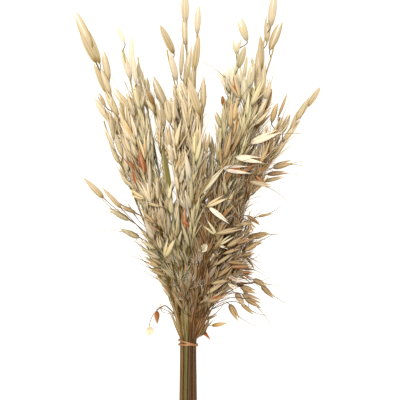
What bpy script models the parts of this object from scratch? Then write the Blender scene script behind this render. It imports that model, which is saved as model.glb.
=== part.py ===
"""A dried oats bundle: cut oat stems with their panicles, held by an elastic band, lying on a table.

Metres, +Z up. The origin is on the table, straight below the middle of the band. The panicles point to +Y,
the cut ends to -Y, and +X is to the right for someone who looks down with the panicles away from them.
"""

import math
from dataclasses import dataclass, replace

import bmesh
import bpy
import numpy as np

MM = 0.001

# Stems, packed in rings round the middle one where the band holds them
STEM_R = 1.35 * MM
CUT_END_R = 1.5 * MM
AXIS_TIP_R = 0.6 * MM
STEM_SIDES = 5
STEM_GAP = 0.3 * MM
PITCH = 2 * STEM_R + STEM_GAP
PACK_REACH = 2.7 * PITCH
CUT_Y = -205 * MM
CUT_STEP = 3 * MM
CUT_SPREAD = 1.3
CUT_TWIST = math.radians(18)
STATIONS = np.array([-205, -10, 10, 45, 95, 155, 215, 275, 335, 395]) * MM
HELD = 3  # the stations up to the band's far side stay as packed
NEAR_END = 12 * MM

# The band: two turns of square elastic, one level and one that leans across it
BAND_THICK = 1.5 * MM
BAND_WIDE = 1.6 * MM
BAND_SEGMENTS = 24
BAND_GAP = 0.3 * MM
LEVEL_TURN = (0, 0)
LEANING_TURN = (5 * MM, -1 * MM)  # where it runs on the left and on the right

# How the stems fan out above the band
AXIS_LOW = 5 * MM
ROOM_FROM = 30 * MM
ROOM_SHARE = 0.03
ROOM_MOST = 6 * MM
SLANT = 1.1
PUSHES = 120

# Spikelets and the thin branches that carry them
HALF_WIDE = (0.088, 0.115)  # of the length
GAPE = (0.25, 0.75)  # of the half width
THICK_SHARE = 0.7
BODY_RINGS = ((0.36, 1.0), (0.66, 0.8))  # how far along they stand, and how broad they are
SHORT_GLUME = 0.9
TIP_R = 0.2 * MM
TERMINAL = 25 * MM
BRANCH = (4 * MM, 26 * MM)
BRANCH_R = 0.45 * MM
BRANCH_ARCH = np.array([0, 3, 2]) * MM
SINK = 0.3 * MM
MARGIN = 0.15 * MM
NEAR = 8 * MM  # rods further off than this are not compared
SISTER_OVERLAP = 1.2 * MM
TRIES = 70
REST_REACH = 5 * MM
GOLDEN = math.radians(137.5)
SEED = 11

# How a panicle holds its spikelets: their lengths in mm, and their branches' angles from the stem in degrees
UPRIGHT, SPREADING, NODDING = "upright", "spreading", "nodding"
SIZES = {UPRIGHT: (24, 32), SPREADING: (21, 28), NODDING: (18, 25)}
ROOT_ANGLES = {UPRIGHT: (8, 20), SPREADING: (20, 42), NODDING: (30, 60)}
NOD_AIMS = (-50, 35)


@dataclass(frozen=True)
class Head:
    """One stem: its tip's place from the band in mm (side, length), its slope up from the table, the
    length of its panicle in mm, how many spikelets it carries, how they are held, its tone, and how late
    it bows out."""

    side: float
    length: float
    rise: float
    panicle: float
    spikelets: int
    habit: str
    tone: str
    bow: float = 1.12


HEADS = (
    Head(-122, 361, 0.03, 200, 13, UPRIGHT, "straw", 1.22),
    Head(-77, 344, 0.12, 180, 11, UPRIGHT, "straw", 1.2),
    Head(-61, 339, 0.03, 180, 11, UPRIGHT, "green"),
    Head(-103, 269, 0.10, 170, 12, UPRIGHT, "straw", 1.2),
    Head(-80, 287, 0.20, 170, 12, UPRIGHT, "straw"),
    Head(-40, 293, 0.20, 180, 11, UPRIGHT, "straw"),
    Head(-60, 296, 0.18, 160, 11, UPRIGHT, "green"),
    Head(-62, 250, 0.26, 150, 11, UPRIGHT, "straw"),
    Head(-73, 216, 0.08, 140, 10, UPRIGHT, "green"),
    Head(-58, 170, 0.16, 110, 9, UPRIGHT, "green"),
    Head(-30, 346, 0.10, 170, 11, UPRIGHT, "straw", 4.0),
    Head(-2, 379, 0.02, 190, 12, UPRIGHT, "straw"),
    Head(12, 366, 0.10, 180, 12, UPRIGHT, "straw", 2.0),
    Head(2, 330, 0.18, 170, 11, UPRIGHT, "straw"),
    Head(18, 291, 0.26, 150, 9, UPRIGHT, "straw"),
    Head(-16, 268, 0.26, 150, 10, UPRIGHT, "straw"),
    Head(-22, 196, 0.28, 130, 10, UPRIGHT, "green"),
    Head(8, 232, 0.30, 130, 10, UPRIGHT, "green"),
    Head(60, 350, 0.12, 180, 12, UPRIGHT, "green", 1.0),
    Head(92, 376, 0.03, 190, 12, UPRIGHT, "straw", 0.8),
    Head(101, 350, 0.12, 180, 12, UPRIGHT, "straw", 1.0),
    Head(148, 288, 0.08, 190, 12, UPRIGHT, "straw", 1.45),
    Head(112, 272, 0.18, 170, 12, UPRIGHT, "tan"),
    Head(80, 305, 0.20, 170, 12, UPRIGHT, "green"),
    Head(88, 276, 0.08, 160, 11, UPRIGHT, "tan"),
    Head(88, 222, 0.26, 150, 11, SPREADING, "tan"),
    Head(54, 268, 0.22, 160, 11, UPRIGHT, "tan"),
    Head(62, 206, 0.10, 140, 10, SPREADING, "tan"),
    Head(84, 160, 0.14, 110, 10, NODDING, "tan"),
    Head(74, 122, 0.05, 80, 8, NODDING, "tan"),
    Head(38, 168, 0.30, 110, 10, SPREADING, "tan"),
)
PANICLE_LOW = 38 * MM


@dataclass(frozen=True)
class Stray:
    """A spikelet that stands clear of the rest: its base from the band (side, length) in mm, the way it
    points in degrees from +X, its own length, where on the stem its branch starts, and whether it lies on
    top."""

    side: float
    length: float
    aim: float
    size: float
    root: float
    on_top: bool = False


STRAYS = (
    Stray(-92, 160, 135, 33, 118),
    Stray(-73, 149, 132, 33, 108),
    Stray(-64, 136, 152, 29, 96),
    Stray(-57, 144, 156, 22, 112),
    Stray(-53, 117, 158, 26, 84),
    Stray(71, 71, -24, 18, 58),
    Stray(80, 64, -43, 21, 50),
    Stray(57, 63, -19, 20, 50),
    Stray(59, 55, -28, 25, 44),
    Stray(52, 56, -53, 18, 38),
    Stray(45, 44, -60, 22, 34),
    Stray(26, 20, 10, 18, 18),
    Stray(14, 17, -50, 17, 27),
    Stray(65, 117, 14, 26, 84),
    Stray(56, 97, 12, 18, 70),
    Stray(76, 140, 12, 19, 100),
    Stray(64, 141, -33, 19, 105),
    Stray(92, 193, 18, 26, 150),
    Stray(82, 178, 14, 26, 140),
    Stray(73, 184, -45, 18, 150, True),
    Stray(67, 219, 22, 36, 176, True),
    Stray(51, 204, -7, 32, 166, True),
    Stray(38, 192, -4, 30, 150, True),
    Stray(13, 164, 49, 32, 130, True),
    Stray(23, 150, -38, 28, 116, True),
)


@dataclass(frozen=True)
class Leaf:
    """A dried blade: its root from the band (side, length), the way it points in degrees from +X, and its
    length and width in mm."""

    side: float
    length: float
    aim: float
    size: float
    wide: float


LEAVES = (
    Leaf(-19, 158, 98, 72, 5.0),
    Leaf(-22, 88, 104, 36, 6.0),
    Leaf(-14, 48, 118, 58, 4.4),
    Leaf(15, 32, 50, 52, 4.0),
)
LEAF_THICK = 0.8 * MM
LEAF_OUTLINE = np.array([0.5, 1, 0.9, 0.6, 0.15])  # its half width along it, as shares of the widest
LEAF_SLOPES = (0.05, 0.15, 0.25, 0.35, -0.05)  # tried in turn
LEAF_SAG = 0.12
LEAF_FOLD = 0.25
LEAF_KEEL = 1.4

# The thin side shoot on the left that curls down, with a spikelet and a rolled scrap of leaf at its end
CURL = np.array([(-18, 40), (-24, 42), (-30, 40.5), (-34.5, 37)]) * MM
CURL_AIM = -88
CURL_SIZE = 15
THREAD = np.array([(-38, 33), (-41.5, 25), (-42.6, 17.5)]) * MM
SCRAP = np.array([-42, 15]) * MM
SCRAP_R = 3.6 * MM
SCRAP_THICK = 1.2 * MM
SCRAP_SIDES = 10

TONES = {  # base colour, roughness
    "straw": ((0.62, 0.48, 0.27), 0.7),
    "green": ((0.50, 0.45, 0.25), 0.72),
    "tan": ((0.44, 0.30, 0.16), 0.75),
    "elastic": ((0.50, 0.27, 0.10), 0.5),
}


def unit(v):
    """v at length one, row by row."""
    return v / np.maximum(np.linalg.norm(v, axis=-1, keepdims=True), 1e-12)


def packed_places():
    """The stems' places (x, z) round the middle one, on a triangular grid cut to a round outline."""
    rows = range(-3, 4)
    grid = [(PITCH * (q + r / 2), PITCH * r * math.sqrt(3) / 2) for r in rows for q in range(-5, 6)]
    return np.array([p for p in grid if math.hypot(*p) < PACK_REACH])


PLACES = packed_places()
PACK_R = float(np.linalg.norm(PLACES, axis=1).max()) + STEM_R
BAND_IN = (PACK_R + BAND_GAP) / math.cos(math.pi / BAND_SEGMENTS)
BAND_Z = (BAND_IN + BAND_THICK) * math.cos(math.pi / BAND_SEGMENTS)


def places_for(heads):
    """Each head's place at the band, chosen so that stems fan out without crossing: pairs are swapped while
    that brings the places nearer to the ways the heads lean."""
    lean = np.array([(h.side / h.length, h.rise) for h in heads])
    lean = (lean - lean.mean(0)) / lean.std(0)
    place = PLACES / PLACES.std(0)
    chosen = np.argsort(np.argsort(lean[:, 0] + 0.01 * lean[:, 1]))
    chosen = np.argsort(place[:, 0] + 0.01 * place[:, 1])[chosen]
    cost = ((lean[:, None] - place[None]) ** 2).sum(2)
    swapped = True
    while swapped:
        swapped = False
        for i in range(len(heads)):
            for j in range(i):
                a, b = chosen[i], chosen[j]
                if cost[i, b] + cost[j, a] < cost[i, a] + cost[j, b] - 1e-12:
                    chosen[i], chosen[j] = b, a
                    swapped = True
    return PLACES[chosen]


def radius_at(y, end):
    """A stem's radius at y: thickest at the cut end, and slender along its panicle up to end."""
    up = np.clip(y / end, 0, 1)
    down = np.clip(y / CUT_Y, 0, 1)
    return STEM_R + (AXIS_TIP_R - STEM_R) * up**1.3 + (CUT_END_R - STEM_R) * down


def stem_lines(heads, rng):
    """Each stem's places (x, z) at the stations, and where its axis ends."""
    home = places_for(heads)
    tips = np.array([(h.side * MM, BAND_Z + h.rise * h.length * MM) for h in heads])
    lengths = np.array([h.length for h in heads]) * MM
    bows = np.array([h.bow for h in heads])
    ends = lengths - TERMINAL
    turn, grown = CUT_TWIST, home * CUT_SPREAD
    cut = np.stack([
        grown[:, 0] * math.cos(turn) - grown[:, 1] * math.sin(turn),
        grown[:, 0] * math.sin(turn) + grown[:, 1] * math.cos(turn),
    ], axis=1)
    cut[:, 1] += CUT_END_R - cut[:, 1].min()
    packed = home + (0, BAND_Z)
    lines = np.zeros((len(heads), len(STATIONS), 2))
    lines[:, 0] = cut
    lines[:, 1] = lines[:, 2] = packed
    for k in range(HELD, len(STATIONS)):
        share = (STATIONS[k] - STATIONS[HELD - 1]) / (lengths - STATIONS[HELD - 1])
        lines[:, k] = packed + (tips - packed) * (share**bows)[:, None]
    lines[:, HELD:] += rng.uniform(-1, 1, lines[:, HELD:].shape) * MM
    push_apart(lines, ends)
    return lines, ends


def push_apart(lines, ends):
    """Moves the stems' places above the band apart, sideways and up, until no two stems touch and each has
    the room that its panicle takes. They are compared at five points between each two stations."""
    for _ in range(PUSHES):
        for k in range(HELD - 1, len(STATIONS) - 1):
            for share in (0.0, 0.25, 0.5, 0.75, 1.0):
                y = STATIONS[k] + share * (STATIONS[k + 1] - STATIONS[k])
                there = np.flatnonzero(ends > y - NEAR_END)
                if len(there) < 2:
                    continue
                at = lines[there, k] * (1 - share) + lines[there, k + 1] * share
                apart = at[:, None] - at[None]
                far = np.linalg.norm(apart, axis=2) + np.eye(len(there))
                radii = radius_at(y, ends[there])
                room = min(ROOM_MOST, max(0.0, (y - ROOM_FROM) * ROOM_SHARE))
                need = (radii[:, None] + radii[None]) * SLANT + STEM_GAP + room
                short = np.maximum(0, need - far) * (1 - np.eye(len(there)))
                move = (apart / far[:, :, None] * (short / 2)[:, :, None]).sum(1)
                if k >= HELD:
                    lines[there, k] += move * (1 - share)
                lines[there, k + 1] += move * share
        low = np.minimum(AXIS_LOW, lines[:, HELD - 1 : HELD, 1])
        lines[:, HELD:, 1] = np.maximum(lines[:, HELD:, 1], low)


class Stem:
    """One stem's centre line, from its cut end to the last spikelet."""

    def __init__(self, head, line, end, cut_y):
        self.head = head
        self.end = end
        ys = [cut_y] + [y for y in STATIONS[1:] if y < end - NEAR_END] + [end]
        self.ys = np.array(ys)
        self.xs = np.interp(ys, STATIONS, line[:, 0])
        self.zs = np.interp(ys, STATIONS, line[:, 1])
        self.xs[0], self.zs[0] = line[0]
        self.radii = radius_at(self.ys, end)
        self.points = np.stack([self.xs, self.ys, self.zs], axis=1)

    def at(self, y):
        """The point on the centre line at y."""
        return np.array([np.interp(y, self.ys, self.xs), y, np.interp(y, self.ys, self.zs)])

    def way(self, y):
        """The direction of the stem at y."""
        k = int(np.clip(np.searchsorted(self.ys, y) - 1, 0, len(self.ys) - 2))
        return unit(self.points[k + 1] - self.points[k])

    def rods(self):
        """The stem as tapered rods."""
        return np.column_stack([self.points[:-1], self.radii[:-1], self.points[1:], self.radii[1:]])


class Space:
    """The room that is taken, as tapered rods (point, radius, point, radius), each with its stem's number."""

    def __init__(self):
        self.rods = np.zeros((0, 8))
        self.owner = np.zeros(0, int)
        self.body = np.zeros(0, bool)

    def add(self, rods, owner, first_body):
        """Takes room. The rods from first_body on are a spikelet's body, and those before it its branch."""
        self.rods = np.vstack([self.rods, rods])
        self.owner = np.append(self.owner, np.full(len(rods), owner))
        self.body = np.append(self.body, np.arange(len(rods)) >= first_body)

    def is_clear(self, rods, owner, first_body):
        """Whether the rods are clear of every other stem's, and nearly clear of their sisters' bodies."""
        lo = np.minimum(rods[:, :3], rods[:, 4:7]).min(0) - NEAR
        hi = np.maximum(rods[:, :3], rods[:, 4:7]).max(0) + NEAR
        near = (np.maximum(self.rods[:, :3], self.rods[:, 4:7]) > lo).all(1)
        near &= (np.minimum(self.rods[:, :3], self.rods[:, 4:7]) < hi).all(1)
        other, own = near & (self.owner != owner), near & (self.owner == owner) & self.body
        if other.any() and rod_gaps(rods, self.rods[other]).min() < MARGIN:
            return False
        return not own.any() or rod_gaps(rods[first_body:], self.rods[own]).min() > -SISTER_OVERLAP


def rod_gaps(a, b):
    """The gap between each rod of a and each of b: the least distance between their centre lines, less the
    radii where it is least."""
    p, q = a[:, None, :3], b[None, :, :3]
    u, v = a[:, None, 4:7] - p, b[None, :, 4:7] - q
    w = p - q
    uu, vv, uv = (u * u).sum(2), (v * v).sum(2), (u * v).sum(2)
    uw, vw = (u * w).sum(2), (v * w).sum(2)
    s = np.clip((uv * vw - uw * vv) / np.maximum(uu * vv - uv * uv, 1e-18), 0, 1)
    t = np.clip((uv * s + vw) / np.maximum(vv, 1e-18), 0, 1)
    s = np.clip((uv * t - uw) / np.maximum(uu, 1e-18), 0, 1)
    far = np.linalg.norm(w + s[..., None] * u - t[..., None] * v, axis=2)
    ra = a[:, None, 3] + (a[:, None, 7] - a[:, None, 3]) * s
    rb = b[None, :, 3] + (b[None, :, 7] - b[None, :, 3]) * t
    return far - ra - rb


@dataclass
class Spikelet:
    """One spikelet on its branch: the branch's points from inside the stem to the spikelet's base, the way it
    points, its broad side, its length, half width, half thickness, and how far its two glumes gape."""

    branch: np.ndarray
    way: np.ndarray
    broad: np.ndarray
    length: float
    half_wide: float
    half_thick: float
    gape: float

    @property
    def base(self):
        """Where the spikelet starts."""
        return self.branch[-1]

    def rings(self):
        """The four points round the spikelet where it is broadest and higher up, and its glumes' tips."""
        flat = unit(np.cross(self.way, self.broad))
        found = []
        for along, share in BODY_RINGS:
            c = self.base + self.way * self.length * along
            w, t = self.broad * self.half_wide * share, flat * self.half_thick * share
            found.append(np.array([c + w, c + t, c - w, c - t]))
        tips = np.array([
            self.base + self.way * self.length + self.broad * self.gape,
            self.base + self.way * self.length * SHORT_GLUME - self.broad * self.gape,
        ])
        return found[0], found[1], tips

    def rods(self):
        """The branch and the spikelet as tapered rods, the branch's first."""
        line = [(p, BRANCH_R) for p in self.branch]
        for along, share in BODY_RINGS:
            line.append((self.base + self.way * self.length * along, self.half_wide * share))
        line.append((self.base + self.way * self.length, self.gape + TIP_R))
        return np.array([(*p, r, *q, s) for (p, r), (q, s) in zip(line[:-1], line[1:])])

    def lowest(self):
        """The spikelet's lowest height."""
        return min(r[:, 2].min() for r in self.rings())

    def lifted(self, by):
        """The same spikelet with its end of the branch raised."""
        branch = self.branch.copy()
        branch[:, 2] += by * np.linspace(0, 1, len(branch))
        return replace(self, branch=branch)


def make_spikelet(branch, way, length, roll, rng):
    """A spikelet at the end of a branch, with its breadth and gape drawn at random and its broad side turned
    by roll from level."""
    way = unit(way)
    level = unit(np.cross(way, (0, 0, 1)))
    upright = np.cross(level, way)
    half = length * rng.uniform(*HALF_WIDE)
    gape = half * rng.uniform(*GAPE)
    broad = level * math.cos(roll) + upright * math.sin(roll)
    return Spikelet(np.array(branch), way, broad, length, half, half * THICK_SHARE, gape)


def settle(spikelet):
    """Lets a spikelet that is near the table come to rest on it, and lifts one that would go through it."""
    low = spikelet.lowest()
    if low >= REST_REACH:
        return spikelet
    level = replace(spikelet, broad=unit(np.cross(spikelet.way, (0, 0, 1))))
    return level.lifted(-level.lowest())


class Bundle:
    """Where every stem, leaf and spikelet of the bundle lies."""

    def __init__(self):
        self.rng = np.random.default_rng(SEED)
        lines, ends = stem_lines(HEADS, self.rng)
        cuts = CUT_Y + self.rng.integers(-2, 3, len(HEADS)) * CUT_STEP
        self.stems = [Stem(h, line, e, c) for h, line, e, c in zip(HEADS, lines, ends, cuts)]
        self.spikelets = [[] for _ in HEADS]
        self.leaves = [[] for _ in HEADS]
        self.space = Space()
        for i, stem in enumerate(self.stems):
            self.space.add(stem.rods(), i, len(stem.ys))
        self.curl_stem = self.outermost(CURL[0][1], -1)
        self.curl_z = self.stems[self.curl_stem].at(CURL[0][1])[2]
        self.place_curl()
        self.place_leaves()
        self.place_strays(on_top=False)
        self.place_panicles()
        self.place_strays(on_top=True)

    def outermost(self, y, side):
        """The stem that is furthest out to that side at y."""
        return int(np.argmax([side * s.at(y)[0] for s in self.stems]))

    def centre(self, y):
        """The middle of the bundle at y."""
        return np.mean([s.at(y) for s in self.stems if s.end > y], axis=0)

    def keep(self, spikelet, stem):
        """Takes the spikelet's room and files it under its stem."""
        self.space.add(spikelet.rods(), stem, len(spikelet.branch) - 1)
        self.spikelets[stem].append(spikelet)

    def place_curl(self):
        """The thin side shoot on the left, with its hanging spikelet."""
        stem, z = self.stems[self.curl_stem], self.curl_z
        way = np.array([math.cos(math.radians(CURL_AIM)), math.sin(math.radians(CURL_AIM)), 0])
        path = [stem.at(CURL[0][1] - 8 * MM)] + [np.array([x, y, z]) for x, y in CURL[1:]]
        spikelet = make_spikelet(path, way, CURL_SIZE * MM, 0.3, self.rng)
        self.keep(spikelet, self.curl_stem)
        self.thread = np.array([path[-1] * 0.7 + path[-2] * 0.3] + [(x, y, z) for x, y in THREAD])
        rods = [(*p, BRANCH_R, *q, BRANCH_R) for p, q in zip(self.thread[:-1], self.thread[1:])]
        rods.append((*SCRAP, z, SCRAP_R, *(SCRAP + 0.1 * MM), z, SCRAP_R))
        self.space.add(np.array(rods), self.curl_stem, 0)

    def place_leaves(self):
        """Each leaf blade, arching out from the nearest stem where it finds room."""
        for leaf in LEAVES:
            root_at = np.array([leaf.side, leaf.length]) * MM
            able = [i for i, s in enumerate(self.stems) if s.end > root_at[1]]
            able.sort(key=lambda i: abs(self.stems[i].at(root_at[1])[0] - root_at[0]))
            self.place_leaf(leaf, root_at[1], able[:8])

    def place_leaf(self, leaf, root_y, able):
        """Tries stems and slopes for one leaf until it is clear."""
        aim = math.radians(leaf.aim)
        share = np.linspace(0, 1, len(LEAF_OUTLINE))[:, None]
        half = leaf.wide * MM / 2 * LEAF_OUTLINE
        sag = np.array([0, 0, -LEAF_SAG * leaf.size * MM])
        for slope in LEAF_SLOPES:
            for i in able:
                root = self.stems[i].at(root_y)
                reach = np.array([math.cos(aim), math.sin(aim), slope]) * leaf.size * MM
                path = root + reach * share + sag * share**2
                rods = np.column_stack([path[:-1], half[:-1], path[1:], half[1:]])
                rods[0, 3] = BRANCH_R
                if path[:, 2].min() > half.max() and self.space.is_clear(rods, i, 0):
                    self.space.add(rods, i, 0)
                    self.leaves[i].append((path, half, unit(np.cross(reach, (0, 0, 1)))))
                    return

    def side_way(self, along, turn):
        """The direction square to along, turned round it from level."""
        level = unit(np.cross(along, (0, 0, 1)))
        return level * math.cos(turn) + np.cross(level, along) * math.sin(turn)

    def place_strays(self, on_top):
        """The spikelets that stand clear of the rest, each on the nearest stem that its branch can reach."""
        for stray in STRAYS:
            if stray.on_top != on_top:
                continue
            spot = np.array([stray.side, stray.length, 0]) * MM
            able = [i for i, s in enumerate(self.stems) if s.end > stray.root * MM]
            able.sort(key=lambda i: np.linalg.norm(self.stems[i].at(stray.root * MM) - spot))
            self.place_stray(stray, spot, able[:12])

    def roof(self, start, end):
        """The greatest height that is taken near the line from start to end, seen from above."""
        lo, hi = np.minimum(start, end)[:2] - 3 * MM, np.maximum(start, end)[:2] + 3 * MM
        ends = np.vstack([self.space.rods[:, :3], self.space.rods[:, 4:7]])
        inside = (ends[:, :2] > lo).all(1) & (ends[:, :2] < hi).all(1)
        return float(ends[inside, 2].max()) if inside.any() else BAND_Z

    def place_stray(self, stray, spot, able):
        """Tries heights and stems for one stray until it is clear."""
        aim = math.radians(stray.aim)
        way = np.array([math.cos(aim), math.sin(aim), 0.06 if stray.on_top else -0.05])
        top = self.roof(spot, spot + way * stray.size * MM)
        for lift in np.arange(0, 40, 1.5) * MM:
            for i in able:
                root = self.stems[i].at(stray.root * MM)
                base = spot + (0, 0, top + lift if stray.on_top else root[2] + lift)
                middle = (root + base) / 2 + BRANCH_ARCH
                made = settle(make_spikelet([root, middle, base], way, stray.size * MM, 0.2, self.rng))
                if self.space.is_clear(made.rods(), i, 2):
                    self.keep(made, i)
                    return

    def place_panicles(self):
        """The spikelets of every panicle, from the tips down, one round of all stems at a time."""
        for k in range(max(h.spikelets for h in HEADS)):
            for i, stem in enumerate(self.stems):
                if k < stem.head.spikelets:
                    self.place_spikelet(i, stem, k)

    def place_spikelet(self, i, stem, k):
        """Draws branches for spikelet k of a stem until one is clear of everything else."""
        head, rng = stem.head, self.rng
        down = k / max(1, head.spikelets - 1)
        if k == 0:
            along = stem.way(stem.end)
            branch = [stem.at(stem.end - 3 * MM), stem.at(stem.end) + along * MM]
            size, roll = TERMINAL * rng.uniform(0.97, 1.03), rng.uniform(-0.6, 0.6)
            self.keep(settle(make_spikelet(branch, along, size, roll, rng)), i)
            return
        size = rng.uniform(*SIZES[head.habit]) * MM
        for attempt in range(TRIES):
            at = max(PANICLE_LOW, stem.end - head.panicle * MM * down**0.9) + rng.uniform(-5, 5) * MM
            root, along = stem.at(at), stem.way(at)
            out = self.side_way(along, k * GOLDEN + i + rng.uniform(-0.5, 0.5) * (1 + attempt / 8))
            outward = unit(root - self.centre(at))
            if head.habit != UPRIGHT and (out @ outward < 0.1 or abs(out[2]) > 0.7):
                continue
            reach = (BRANCH[0] + (BRANCH[1] - BRANCH[0]) * down) * rng.uniform(0.6, 1.25)
            angle = math.radians(rng.uniform(*ROOT_ANGLES[head.habit]))
            base = root + (along * math.cos(angle) + out * math.sin(angle)) * (reach + 2 * MM)
            way = along * math.cos(angle * 0.6) + out * math.sin(angle * 0.6)
            if head.habit == NODDING:
                aim = math.radians(rng.uniform(*NOD_AIMS))
                way = np.array([math.cos(aim), math.sin(aim), rng.uniform(-0.2, 0.15)])
            made = settle(make_spikelet([root - out * SINK, base], way, size, rng.uniform(-0.9, 0.9), rng))
            if made.base[2] > BRANCH_R and self.space.is_clear(made.rods(), i, 1):
                self.keep(made, i)
                return


def mesh_object(name, verts, faces, collection):
    """A mesh object with its faces turned outwards."""
    mesh = bpy.data.meshes.new(name)
    mesh.from_pydata([tuple(v) for v in verts], [], faces)
    work = bmesh.new()
    work.from_mesh(mesh)
    bmesh.ops.recalc_face_normals(work, faces=work.faces)
    work.to_mesh(mesh)
    work.free()
    obj = bpy.data.objects.new(name, mesh)
    collection.objects.link(obj)
    return obj


def ring(centre, along, start, radius, sides):
    """The corners of a regular polygon round centre, square to along, the first one towards start."""
    across = unit(start - along * (start @ along))
    other = np.cross(along, across)
    turns = np.arange(sides) * math.tau / sides
    return centre + radius * (np.cos(turns)[:, None] * across + np.sin(turns)[:, None] * other)


def ring_ways(points):
    """The direction of a line at each of its points."""
    steps = unit(np.diff(points, axis=0))
    return unit(np.vstack([steps[:1], steps[:-1] + steps[1:], steps[-1:]]))


def side_faces(first, second, sides):
    """Quads between two rings of the same number of corners."""
    return [(first + k, first + (k + 1) % sides, second + (k + 1) % sides, second + k) for k in range(sides)]


def tube(points, radii, sides, start):
    """The corners and faces of a closed tube along points."""
    ways = ring_ways(points)
    verts = np.vstack([ring(p, w, start, r, sides) for p, w, r in zip(points, ways, radii)])
    faces = [f for k in range(len(points) - 1) for f in side_faces(k * sides, (k + 1) * sides, sides)]
    last = (len(points) - 1) * sides
    return verts, [tuple(range(sides))[::-1], *faces, tuple(range(last, last + sides))]


def spikelet_mesh(s):
    """The corners and faces of a spikelet and its three-sided branch, as one closed skin. The two glumes
    share the lower part, and they part above its second ring."""
    ways = ring_ways(np.vstack([s.branch, s.branch[-1] + s.way * MM]))[:-1]
    flat = unit(np.cross(s.way, s.broad))
    starts = [flat if abs(w @ flat) < 0.9 else s.broad for w in ways]
    verts = [ring(p, w, start, BRANCH_R, 3) for p, w, start in zip(s.branch, ways, starts)]
    count = 3 * len(s.branch)
    faces = [(0, 2, 1)]
    for k in range(len(s.branch) - 1):
        faces += side_faces(3 * k, 3 * k + 3, 3)
    a, p = count - 3, count
    faces += [(a, p, p + 1), (a, p + 1, p + 2), (a, p + 2, a + 1), (a + 1, p + 2, p + 3)]
    faces += [(a + 1, p + 3, a + 2), (a + 2, p + 3, p), (a + 2, p, a)]
    faces += side_faces(p, p + 4, 4)
    b, left, right = p + 4, p + 8, p + 9
    faces += [(b, b + 1, left), (b + 3, b, left), (b + 1, b + 3, left)]
    faces += [(b + 1, b + 2, right), (b + 2, b + 3, right), (b + 3, b + 1, right)]
    return np.vstack([*verts, *s.rings()]), faces


def leaf_mesh(path, half, broad):
    """The corners and faces of a thin blade along path, a little folded along its middle."""
    ways = ring_ways(path)
    verts = []
    for p, w, h in zip(path, ways, half):
        side = unit(broad - w * (broad @ w))
        face = np.cross(w, side)
        fold = face * h * LEAF_FOLD
        up = face * LEAF_THICK / 2
        verts.append(np.array([p + side * h + fold, p + up, p - side * h + fold, p - up * LEAF_KEEL]))
    faces = [f for k in range(len(path) - 1) for f in side_faces(4 * k, 4 * k + 4, 4)]
    last = 4 * (len(path) - 1)
    return np.vstack(verts), [(3, 2, 1, 0), *faces, tuple(range(last, last + 4))]


def fuse(body, parts):
    """Joins every object of the collection to body with one Boolean, and removes them."""
    union = body.modifiers.new("grown_together", "BOOLEAN")
    union.operation = "UNION"
    union.operand_type = "COLLECTION"
    union.collection = parts
    bpy.context.view_layer.update()
    joined = bpy.data.meshes.new_from_object(body.evaluated_get(bpy.context.evaluated_depsgraph_get()))
    body.modifiers.remove(union)
    body.data = joined
    for obj in list(parts.objects):
        bpy.data.objects.remove(obj)
    bpy.data.collections.remove(parts)


def finish(obj, tone):
    """Gives the object its own material and smooth shading."""
    (red, green, blue), rough = TONES[tone]
    material = bpy.data.materials.new(obj.name)
    material.use_nodes = True
    shader = material.node_tree.nodes["Principled BSDF"]
    shader.inputs["Base Color"].default_value = (red, green, blue, 1)
    shader.inputs["Roughness"].default_value = rough
    obj.data.materials.clear()
    obj.data.materials.append(material)
    obj.data.shade_smooth()
    obj.data.set_sharp_from_angle(angle=math.radians(35))


def build_stem(number, bundle):
    """One stem with its leaves and panicle, as one solid."""
    stem = bundle.stems[number]
    name = f"oat_stem_{number + 1:02d}"
    scene = bpy.context.scene.collection
    body = mesh_object(name, *tube(stem.points, stem.radii, STEM_SIDES, np.array([0, 0, -1.0])), scene)
    parts = bpy.data.collections.new(name + "_panicle")
    scene.children.link(parts)
    for k, spikelet in enumerate(bundle.spikelets[number]):
        mesh_object(f"spikelet_{k}", *spikelet_mesh(spikelet), parts)
    for k, leaf in enumerate(bundle.leaves[number]):
        mesh_object(f"leaf_{k}", *leaf_mesh(*leaf), parts)
    if number == bundle.curl_stem:
        radii = np.full(len(bundle.thread), BRANCH_R)
        mesh_object("thread", *tube(bundle.thread, radii, 3, np.array([0, 0, 1.0])), parts)
        middle = np.array([*SCRAP, bundle.curl_z])
        ends = middle + np.outer((-0.5, 0.5), (0, 0, SCRAP_THICK))
        mesh_object("scrap", *tube(ends, (SCRAP_R, SCRAP_R), SCRAP_SIDES, np.array([1.0, 0, 0])), parts)
    fuse(body, parts)
    finish(body, stem.head.tone)


def band_turn(name, turn, collection):
    """One turn of the band: a ring of square elastic, with its left and right at turn's two places along the
    stems. It lies flat at the bottom, because one of its facets faces down."""
    left, right = turn
    turns = (np.arange(BAND_SEGMENTS) + 0.5) * math.tau / BAND_SEGMENTS
    around = np.stack([np.sin(turns), np.zeros(BAND_SEGMENTS), -np.cos(turns)], axis=1)
    lean = right + (left - right) * (1 - around[:, 0]) / 2
    section = ((BAND_IN, -1), (BAND_IN, 1), (BAND_IN + BAND_THICK, 1), (BAND_IN + BAND_THICK, -1))
    verts = []
    for way, shift in zip(around, lean):
        for radius, side in section:
            verts.append(way * radius + (0, shift + side * BAND_WIDE / 2, BAND_Z))
    count = 4 * BAND_SEGMENTS
    faces = []
    for k in range(BAND_SEGMENTS):
        a, b = 4 * k, (4 * k + 4) % count
        faces += [(a + j, a + (j + 1) % 4, b + (j + 1) % 4, b + j) for j in range(4)]
    return mesh_object(name, verts, faces, collection)


def build_band():
    """The elastic band: two turns that run apart on the left and cross on the right."""
    scene = bpy.context.scene.collection
    band = band_turn("elastic_band", LEVEL_TURN, scene)
    parts = bpy.data.collections.new("band_turns")
    scene.children.link(parts)
    band_turn("second_turn", LEANING_TURN, parts)
    fuse(band, parts)
    finish(band, "elastic")


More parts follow.
